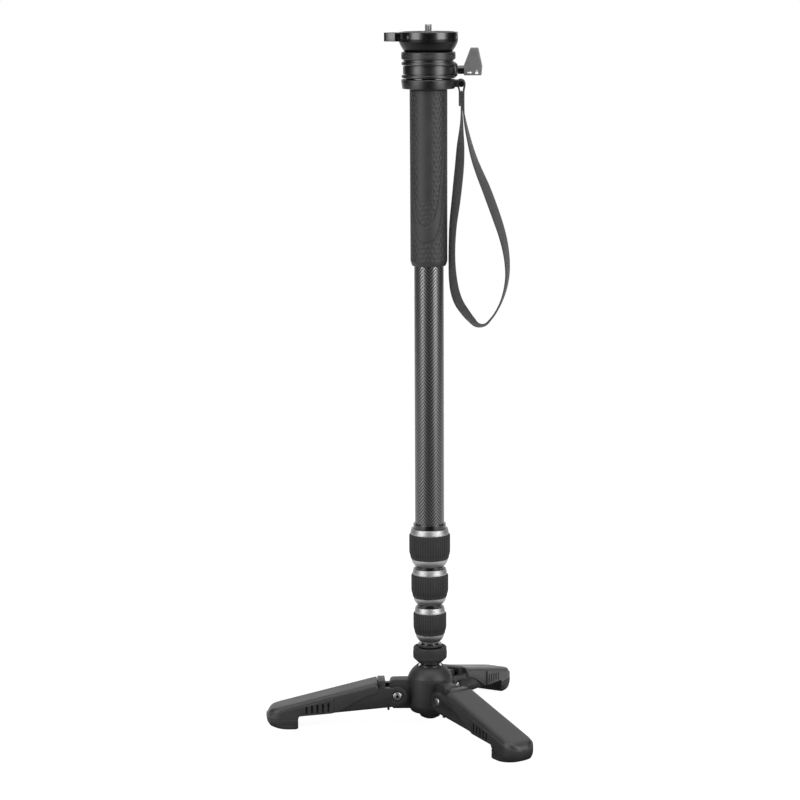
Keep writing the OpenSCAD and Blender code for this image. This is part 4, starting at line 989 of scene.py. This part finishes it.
add("housing", housing, "section_1", "black_metal", soft_anodised, "head_housing")

# %% Strap collar with its lug
col_low, col_high = span("strap_collar")
c0, c1, collar_bore = col_low[2], col_high[2], TUBE_R + FIT
collar_ring = turned("collar_ring", [
    (collar_bore, c0), (22.8, c0, 0.6), (23.7, c1 - 0.6, 0.5), (23.1, c1, 0.3), (collar_bore, c1)])
LUG_Y, LUG_IN, LUG_R, LUG_BORE_R = 7.2, 19.5, 3.0, 2.0
nose_corners = [(LUG_BORE_R, -1.0), (LUG_R, -1.0, 0.35), (LUG_R, 1.0, 0.35), (LUG_BORE_R, 1.0)]
ears = []
for y in (-LUG_Y, LUG_Y):
    ears.append(rod("lug_nose", nose_corners, (bar[0], y, bar[2]), (0, 1, 0), 48))
    arm_low = (LUG_IN, y - 0.98, bar[2] - LUG_R + 0.05)
    arm_high = (bar[0] - 1.6, y + 0.98, bar[2] + LUG_R - 0.05)
    ears.append(rounded_block("lug_arm", arm_low, arm_high, 0.3))
lugged_collar = joined("lugged_collar", collar_ring, *ears)
add("lugged_collar", lugged_collar, "section_1", "dark_metal", textured, "strap_collar")

# %% [markdown]
# ## Camera screw
# The screw is a standard quarter-inch thread with twenty turns to the inch. A thread is a surface whose
# radius rises and falls with height, shifted by one pitch in each turn, so a fine grid round the axis with
# that radius is enough. It fades out towards its chamfered tip.

# %% Thread
PITCH, THREAD_R, THREAD_DEEP, CHAMFER = 25.4 / 20, 25.4 / 8, 0.62, 0.7
THREAD_SIDES, THREAD_RINGS = 56, 72
screw_low, screw_high = span("camera_screw")
turns = np.arange(THREAD_SIDES) * 2 * math.pi / THREAD_SIDES
rings = []
for z in np.linspace(TOP - 0.1, screw_high[2], THREAD_RINGS):
    wave = np.abs(((z / PITCH - turns / (2 * math.pi)) % 1) * 2 - 1)
    flank = THREAD_R - THREAD_DEEP * np.clip(wave * 1.25 - 0.12, 0, 1)
    tip = max(0.0, z - (screw_high[2] - CHAMFER))
    rings.append((np.minimum(flank, THREAD_R - tip * 0.95), z))
thread = write("screw_thread", round_rings(rings, turns), capped(THREAD_RINGS, THREAD_SIDES), 60)
f0, f1 = part_z + FLANGE_LOW, part_z + FLANGE_HIGH
flange = rod("screw_flange", [
    (0, screw_low[2]), (SHANK_R, screw_low[2]), (SHANK_R, f0), (FLANGE_R, f0), (FLANGE_R, f1), (SHANK_R, f1),
    (SHANK_R, TOP), (0, TOP)])
add("threaded_screw", joined("threaded_screw", thread, flange), "platform", "steel", steel, "camera_screw")

# %% [markdown]
# ## Lock paddle
# The paddle is a satin grey plate that widens towards its root. Its outline is extruded and all its edges
# are eased with a Bevel modifier. A plain arrow and a small padlock sign, as on any lock knob, are thin
# raised plates near its foot.


# %% Paddle
def plate_mesh(name, outline, y0, y1):
    """A flat outline of (x, z) points, made thick from y0 to y1."""
    points = [(x, y, z) for y in (y0, y1) for x, z in outline]
    return write(name, points, capped(2, len(outline)))


def shifted(outline, x0, z0):
    return [(x0 + x, z0 + z) for x, z in outline]


paddle_low, paddle_high = span("lock_paddle")
paddle_x, half_t = paddle_low[0], (paddle_high[1] - paddle_low[1]) / 2
blade_side = [(0, -4.8), (15.3, -4.8), (16, 3.4), (12.6, 19), (6, 19), (0, 3.4)]
blade = plate_mesh("paddle_blade", shifted(blade_side, paddle_x, KNOB_Z), -half_t, half_t)
blade = settled(blade, bevel(0.8, 25))
tidy(blade, 50)
add("grey_paddle", blade, "knob", "grey_metal", paddle_grey, "lock_paddle")

# %% Arrow and padlock signs
ARROW_AT, LOCK_AT = (paddle_x + 5.2, KNOB_Z - 2.3), (paddle_x + 11.2, KNOB_Z - 2.6)
MARK_T = 0.05
arrow = [(-2.3, -0.45), (0, -0.45), (0, -1.15), (2.0, 0), (0, 1.15), (0, 0.45), (-2.3, 0.45)]
lock_body = [(-1.2, -0.9), (1.2, -0.9), (1.2, 0.7), (-1.2, 0.7)]
half_turn = np.linspace(0, math.pi, 9)
lock_bow = [(0.95 * math.cos(a), 0.9 + 1.2 * math.sin(a)) for a in half_turn]
lock_bow += [(0.55 * math.cos(a), 0.9 + 0.8 * math.sin(a)) for a in reversed(half_turn)]
signs = (("arrow", arrow, ARROW_AT), ("lock_body", lock_body, LOCK_AT), ("lock_bow", lock_bow, LOCK_AT))
marks = []
for y in (-half_t - 0.03, half_t - 0.02):
    marks += [plate_mesh(name, shifted(outline, *at), y, y + MARK_T) for name, outline, at in signs]
add("paddle_marks", joined("paddle_marks", *marks), "knob", "bearing_plastic", marking)

# %% [markdown]
# ## Bubble level
# A round level has a tinted fluid, a dark target ring, a dark rim and one bubble. They are small turned pieces
# set in the tab's pocket, and the fluid's finish has a clear coat in place of a glass.

# %% Level
fluid = finish("level_fluid", (0.42, 0.62, 0.12), 0.1, grain=(300, 0.02), dust=0.05, coat=1.0)
bubble_look = finish("level_bubble", (0.75, 0.85, 0.5), 0.08, grain=(300, 0.02), dust=0.05, coat=1.0)
top = tab_high
dish = rod("level_dish", [
    (0, vial_low[2]), (VIAL_R, vial_low[2]), (VIAL_R, top - 0.5, 0.3), (3.0, top - 0.3), (0, top - 0.25)],
    (TAB_X, 0, 0))
add("level_fluid", dish, "platform", "vial", fluid, "level_vial")
target_low, target_high, cap_low = top - 0.32, top - 0.2, top - 0.6
target_ring = [(1.75, target_low), (2.05, target_low), (2.05, target_high), (1.75, target_high)]
cap_ring = [(4.0, cap_low), (VIAL_R, cap_low), (VIAL_R, top, 0.15), (4.0, top, 0.15)]
on_tab = Matrix.Translation((TAB_X * MM, 0, 0))
target = moved(turned("level_target", target_ring, 48), on_tab)
rim_cap = moved(turned("level_cap", cap_ring, 64), on_tab)
add("level_rings", joined("level_rings", target, rim_cap), "platform", "black_metal", gloss)
bubble = rod("level_bubble", [
    (0, top - 0.4), (1.2, top - 0.4), (1.3, top - 0.28, 0.08), (0.9, top - 0.14, 0.2), (0, top - 0.1)],
    (TAB_X + 0.3, 0.2, 0))
add("level_bubble", bubble, "platform", "vial", bubble_look)

# %% [markdown]
# ## Foot joint
# The collar that locks the ball has a knurled edge: a plain turned ring with many narrow ridges round it. The
# hub below is a smooth cast body with a domed top, and a fine seam where the dome begins. Three tongues hold
# the legs' hinge pins.

# %% Base collar
bc_low, bc_high = span("base_collar")
b0, b1, b_r = bc_low[2], bc_high[2], bc_high[0]
STEM_HOLE_R, COLLAR_BORE_R, COLLAR_FLOOR = 6.56, 10.66, 4.2
skin_r, mouth_z, floor_z = b_r - 0.35, b1 - 1.2, b0 + COLLAR_FLOOR
collar_body = turned("base_collar_body", [
    (STEM_HOLE_R, b0), (10.2, b0, 0.3), (skin_r, b0 + 4.5, 0.5), (skin_r, b1 - 0.8, 0.3),
    (b_r - 1.0, b1, 0.3), (12.9, b1, 0.3), (12.0, mouth_z), (COLLAR_BORE_R, mouth_z),
    (COLLAR_BORE_R, floor_z), (STEM_HOLE_R, floor_z)])
knurl_track = [(b_r - 0.4, z) for z in np.linspace(b0 + 4.9, b1 - 3.2, 3)]
knurl = rib_shape("collar_knurl", knurl_track, 0.42, 0.34)
knurls = copies("collar_knurls", knurl, count=84, first_angle=0.0, finish=rubber)
knurled_collar = joined("knurled_collar", collar_body, knurls)
add("knurled_collar", knurled_collar, "collar", "black_metal", rubber, "base_collar")

# %% Hub body
HUB_R, HUB_BORE_R, HUB_LOW, SHOULDER_Z = 20.0, 15.8, 12.0, 43.0
DOME_R, SOCKET_R, MOUTH_R, BALL_Z = 21.1, 14.3, 11.4, 44.5
SEAM_R = HUB_R - 0.22
dome_z = SHOULDER_Z - math.sqrt(DOME_R**2 - HUB_R**2)
dome_turns = np.linspace(math.asin((SHOULDER_Z + 0.4 - dome_z) / DOME_R), math.acos(MOUTH_R / DOME_R), 16)
dome = [(DOME_R * math.cos(a), dome_z + DOME_R * math.sin(a)) for a in dome_turns]
socket_turns = np.linspace(math.acos(MOUTH_R / SOCKET_R), 0.05, 8)
ball_socket = [(SOCKET_R * math.cos(a), BALL_Z + SOCKET_R * math.sin(a)) for a in socket_turns]
hub_body = turned("hub_body", [
    (HUB_BORE_R, HUB_LOW), (17, HUB_LOW, 0.6), (HUB_R, 17, 2.2), (HUB_R, SHOULDER_Z - 0.4, 0.1),
    (SEAM_R, SHOULDER_Z - 0.25), (SEAM_R, SHOULDER_Z + 0.05), *dome, (MOUTH_R - FIT, dome[-1][1] - 0.15, 0.1),
    *ball_socket, (HUB_BORE_R, BALL_Z)], 160)
print("hub dome ends at", round(dome[-1][1], 2), "mm")

# %% Tongues for the legs
LEG_TURNS = {1: 182.6, 2: 302.6, 3: 62.6}
PIN_R, PIN_Z = 30.0, 28.0
TONGUE_R, TONGUE_HALF, TONGUE_IN = 14.1, 6.5, -15
tongue_turns = np.radians(np.linspace(80, 68, 4))
tongue_top = [(TONGUE_R * math.cos(a), TONGUE_R * math.sin(a)) for a in tongue_turns]
tongue_front = [(7.4, 7.4), (8.2, 3), (8.2, -3), (6, -9), (3.5, -12.6)]
tongue_side = [(TONGUE_IN, tongue_top[0][1]), *tongue_top, *tongue_front, (TONGUE_IN, -12.8)]
tongue = plate_mesh("tongue", shifted(tongue_side, PIN_R, PIN_Z), -TONGUE_HALF, TONGUE_HALF)
tongue = settled(tongue, bevel(0.6, 40))
leg_spins = {i: Matrix.Rotation(math.radians(a), 4, "Z") for i, a in LEG_TURNS.items()}
tongues = [moved(tongue, spin) for spin in leg_spins.values()]
add("domed_hub", joined("domed_hub", hub_body, *tongues), "hub", "black_metal", satin, "hub")

# %% Hinge pins
PIN_SHANK_R, PIN_HEAD_R, HEAD_IN, PIN_END = 2.5, 4.3, 10.9, 13.3
HEX_R, HEX_FLOOR = 1.7, 11.8
head_half = [
    (PIN_HEAD_R, HEAD_IN), (PIN_HEAD_R, 12.3, 0.4), (3.7, 13.0, 0.4), (2.3, PIN_END, 0.3), (0, PIN_END)]
other_half = [(corner[0], -corner[1], *corner[2:]) for corner in reversed(head_half)]
pin_corners = [*other_half, (PIN_SHANK_R, -HEAD_IN), (PIN_SHANK_R, HEAD_IN), *head_half]
pins, socket_shades = [], []
for a in np.radians(list(LEG_TURNS.values())):
    c, s = math.cos(a), math.sin(a)
    at, along = (PIN_R * c, PIN_R * s, PIN_Z), (-s, c, 0)
    hex_cutter = plain_rod("hex_cutter", HEX_R, HEX_FLOOR, 15, at, along, 6)
    pins.append(cut(rod("hinge_pin", pin_corners, at, along), hex_cutter))
    # painted shade: a thin dark disc on the floor of each hex socket stands in for the shadow inside the
    # socket
    socket_shades.append(plain_rod("hex_floor", HEX_R - 0.04, HEX_FLOOR + 0.01, HEX_FLOOR + 0.15, at, along, 6))
add("bright_pins", joined("bright_pins", *pins), "hub", "steel", pin_steel, "hinge_pins")
# the dark discs in the pins' sockets are painted shade
add("pin_sockets", joined("pin_sockets", *socket_shades), "hub", "steel", soot)

# %% [markdown]
# ## Legs
# Each leg has a metal arm with two ears, a long cover that falls towards the tip, and a rubber pad. The cover
# is lofted: at each distance from the column it has a half width, a top, a lower edge and a rounding of its
# long edges, and these sections are joined. The lower edge sweeps down so that the arm shows near the hinge.
# Five finger slots are cut in each side with a Boolean modifier. The pad at the tip has a groove round it.

# %% Cover outline
COVER_IN, COVER_HIGH, TIP = 47.5, 41.0, 147.5
NOSE_R, NOSE_X, NOSE_Z, NOSE_LEAD = 8.8, 138.7, 9.6, 2.0
PANEL_X, PANEL_OUT, PANEL_DROP = 87.5, 0.8, 3.4
FALL = (NOSE_Z + math.sqrt(NOSE_R**2 - NOSE_LEAD**2) - COVER_HIGH) / (NOSE_X + NOSE_LEAD - COVER_IN)
# the cover's lower edge: distance from the column, and height
SWOOP = np.array([
    (47.5, 33.8), (49, 32.2), (52, 31), (56, 29.9), (60, 28.5), (64, 26.7), (69, 23.9), (75, 20.2),
    (80, 17.2), (85, 14.8), (90, 14.05), (100, 13.25), (117.6, 11.9), (118.4, 11.2), (119, 9.25),
    (147.5, 9.25)])


def cover_top(x):
    if x <= NOSE_X + NOSE_LEAD:
        return COVER_HIGH + (x - COVER_IN) * FALL
    part = (x - NOSE_X) * NOSE_R / (NOSE_R - PANEL_OUT)
    return NOSE_Z + math.sqrt(max(NOSE_R**2 - part**2, 0.0))


def panel_top(x):
    tops = [cover_top(PANEL_X) - PANEL_DROP, cover_top(NOSE_X) - PANEL_DROP, NOSE_Z + 2]
    return float(np.interp(x, [PANEL_X, NOSE_X, TIP], tops))


def cover_edge(x):
    """The lower edge's height; before the step down to the pad its bends are softened."""
    near = np.linspace(x - 1.2, x + 1.2, 7) if x < 112 else x
    return float(np.mean(np.interp(near, SWOOP[:, 0], SWOOP[:, 1])))


print("cover falls", round(-FALL, 3), "mm in each mm")


# %% Cover sections
def toe_half(x, tip, half, corner):
    over = max(x - (tip - corner), 0.0)
    return half - corner + math.sqrt(max(corner**2 - over**2, 0.0))


def toe_stations(tip, corner):
    nearing = np.sin(np.linspace(0.05, math.pi / 2, 14))
    return [*np.arange(121, tip - corner, 2.5), *(tip - corner * (1 - nearing))]


def arch_ring(x, half, top, edge, bend):
    """Half of a section with a rounded upper edge, and its mirror image."""
    bend_y, bend_z = half - bend, top - bend
    side = [(half, edge + (bend_z - edge) * t) for t in (0, 0.5, 1)]
    for a in np.linspace(0, math.pi / 2, 8)[1:]:
        side.append((bend_y + bend * math.cos(a), bend_z + bend * math.sin(a)))
    side.append((bend_y * 0.5, top))
    return [(x, y, z) for y, z in side] + [(x, 0, top)] + [(x, -y, z) for y, z in reversed(side)]


def lofted(name, rings, sharp=32):
    return write(name, [q for ring in rings for q in ring], capped(len(rings), len(rings[0])), sharp)


# %% Cover crown and side panels
HALF_W, TOE_R, COVER_BEND, PANEL_BEND = 14.5, 12.5, 4.5, 0.75
PANEL_HALF, PANEL_TOE = HALF_W + PANEL_OUT, TOE_R + PANEL_OUT
STEP_DOWN = [117.6, 118.0, 118.4, 118.7, 119.0]
crown_tip = TIP - PANEL_OUT
stations = [COVER_IN, COVER_IN + 0.3, COVER_IN + 1.2, *np.arange(50, 117.5, 2.5), *STEP_DOWN]
rings = []
for i, x in enumerate(stations + toe_stations(crown_tip, TOE_R)):
    inset = {0: 1.1, 1: 0.5}.get(i, 0.0)
    half = toe_half(x, crown_tip, HALF_W, TOE_R) - inset
    high, edge = cover_top(x) - inset, cover_edge(x) + 0.4 * inset
    rings.append(arch_ring(x, half, high, edge, min(COVER_BEND, 0.7 * (high - edge), 0.8 * half)))
crown_mesh = lofted("cover_crown", rings)
stations = [PANEL_X, PANEL_X + 0.25, PANEL_X + 0.8, *np.arange(90, 117.5, 2.5), *STEP_DOWN]
rings = []
for i, x in enumerate(stations + toe_stations(TIP, PANEL_TOE)):
    inset = {0: 0.8, 1: 0.25}.get(i, 0.0)
    half = toe_half(x, TIP, PANEL_HALF, PANEL_TOE) - inset
    rings.append(arch_ring(x, half, panel_top(x) - 0.5 * inset, cover_edge(x) + 0.05, PANEL_BEND))
panel_mesh = lofted("cover_panels", rings)
print("cover faces:", len(crown_mesh.polygons), "panel faces:", len(panel_mesh.polygons))

# %% Finger slots
PAD_X = 119.0
SLOT_W, SLOT_DEEP, SLOT_PITCH, SLOT_RISE = 1.8, 1.7, 4.9, 1.8
slots = []
for k in range(5):
    x = PAD_X - 7.5 - SLOT_PITCH * k
    z = cover_edge(x) + SLOT_RISE
    tall = 6.6 + 0.45 * k
    for s in (-1, 1):
        y0, y1 = sorted((s * (PANEL_HALF - SLOT_DEEP), s * (PANEL_HALF + 2)))
        low, high = (x - SLOT_W / 2, y0, z), (x + SLOT_W / 2, y1, z + tall)
        slots.append(rounded_block("slot_cutter", low, high, 0.45, 2))
cover_mesh = joined("leg_cover", cut(crown_mesh, *slots), cut(panel_mesh, *slots))
tidy(cover_mesh, 32)
print("cover with slots:", len(cover_mesh.polygons), "faces")

# %% Foot pad
PAD_H, PAD_HALF, HEEL_CUT = 9.2, 15.5, 0.8
# heights, and how far the pad is drawn in there: softened below and above, with the groove between
PAD_LEVELS = [
    (0, 0.7), (0.35, 0.2), (0.9, 0), (1.8, 0), (3.2, 0), (4.7, 0), (4.85, 0.3), (5.25, 0.3), (5.4, 0),
    (7.2, 0), (8.6, 0), (9.0, 0.15), (9.18, 0.45)]


def pad_ring(z, inset):
    """The pad's plan at one height: square at the heel, round at the toe, drawn back under the toe."""
    drawn_back = float(np.interp(z, [0, 0.2 * PAD_H, 0.55 * PAD_H, PAD_H], [7, 3, 0.8, 0]))
    half, heel, corner = PAD_HALF - inset, PAD_X + inset + max(1 - z, 0.0), PANEL_TOE - inset
    toe_x, toe_y = TIP - inset - drawn_back - corner, half - corner
    side = [(heel, half - HEEL_CUT), (heel + HEEL_CUT, half)]
    for a in np.linspace(0, math.pi / 2, 12):
        side.append((toe_x + corner * math.sin(a), toe_y + corner * math.cos(a)))
    return [(x, y, z) for x, y in side] + [(x, -y, z) for x, y in reversed(side)]


pad_mesh = lofted("foot_pad", [pad_ring(z, inset) for z, inset in PAD_LEVELS], 40)
print("pad faces:", len(pad_mesh.polygons))


# %% Legs in their places
def softened(node, width):
    """A solid's own shape with eased edges: its triangles are merged into flat faces and bevelled."""
    work = bmesh.new()
    work.from_mesh(cad[node].data)
    bmesh.ops.remove_doubles(work, verts=work.verts, dist=1e-6)
    bmesh.ops.dissolve_limit(work, angle_limit=math.radians(0.6), verts=work.verts, edges=work.edges)
    mesh = bpy.data.meshes.new(node + "_soft")
    work.to_mesh(mesh)
    work.free()
    out = settled(mesh, bevel(width, 30, 2))
    tidy(out, 35)
    return out


for i, spin in leg_spins.items():
    leg, arm = f"leg_{i}", f"leg_arm_{i}"
    add(f"leg_cover_shell_{i}", moved(cover_mesh, spin), leg, "cover_plastic", shell, f"leg_cover_{i}")
    add(f"leg_arm_soft_{i}", softened(arm, 0.45), leg, "dark_metal", arm_coat, arm)
    add(f"grooved_pad_{i}", moved(pad_mesh, spin), leg, "rubber", rubber, f"foot_pad_{i}")

# %% [markdown]
# ## Finishes for the solids that stay
# The tubes, bolts, bearings and other plain pieces keep the shapes that they came with. Every solid gets the
# finish of its material, also where a finer piece stands in for it.


# %% Paint the solids
def numbered(stem, first, last):
    return [f"{stem}_{k}" for k in range(first, last + 1)]


PAINT = {
    carbon: numbered("tube", 1, 4),
    gloss: [*numbered("end_fitting", 1, 3), "foot_fitting", "knob_shaft", "tube_plug"],
    satin: ["hub", "hub_plug"],
    anodised: ["platform_plate", "lug_bar"],
    soft_anodised: ["head_housing"],
    soot: ["half_ball"],
    textured: ["cup_ring", "strap_collar"],
    rubber: [
        "base_collar", "ring_seal", "top_pad", *numbered("lock_sleeve", 1, 3), *numbered("foot_pad", 1, 3)],
    grip_skin: ["grip"],
    arm_coat: numbered("leg_arm", 1, 3),
    shell: numbered("leg_cover", 1, 3),
    bright: numbered("lock_nut", 1, 3),
    steel: ["camera_screw", "tension_bolt", "pull_washer", "head_mount_bolt", "seat_springs"],
    pin_steel: ["hinge_pins", "rim_grub_screws"],
    polished: ["ball_stem"],
    paddle_grey: ["lock_paddle"],
    nylon: [
        "seat_liner", "brake_shoe", "ball_seat", *numbered("collet", 1, 3), *numbered("guide_bush", 2, 4)],
    fluid: ["level_vial"],
    webbing: ["wrist_strap"],
}
for material, names in PAINT.items():
    for name in names:
        cad[name].data.materials.clear()
        cad[name].data.materials.append(material)
missing = set(cad) - {n for names in PAINT.values() for n in names}
print("painted solids:", len(cad) - len(missing), "left:", missing)
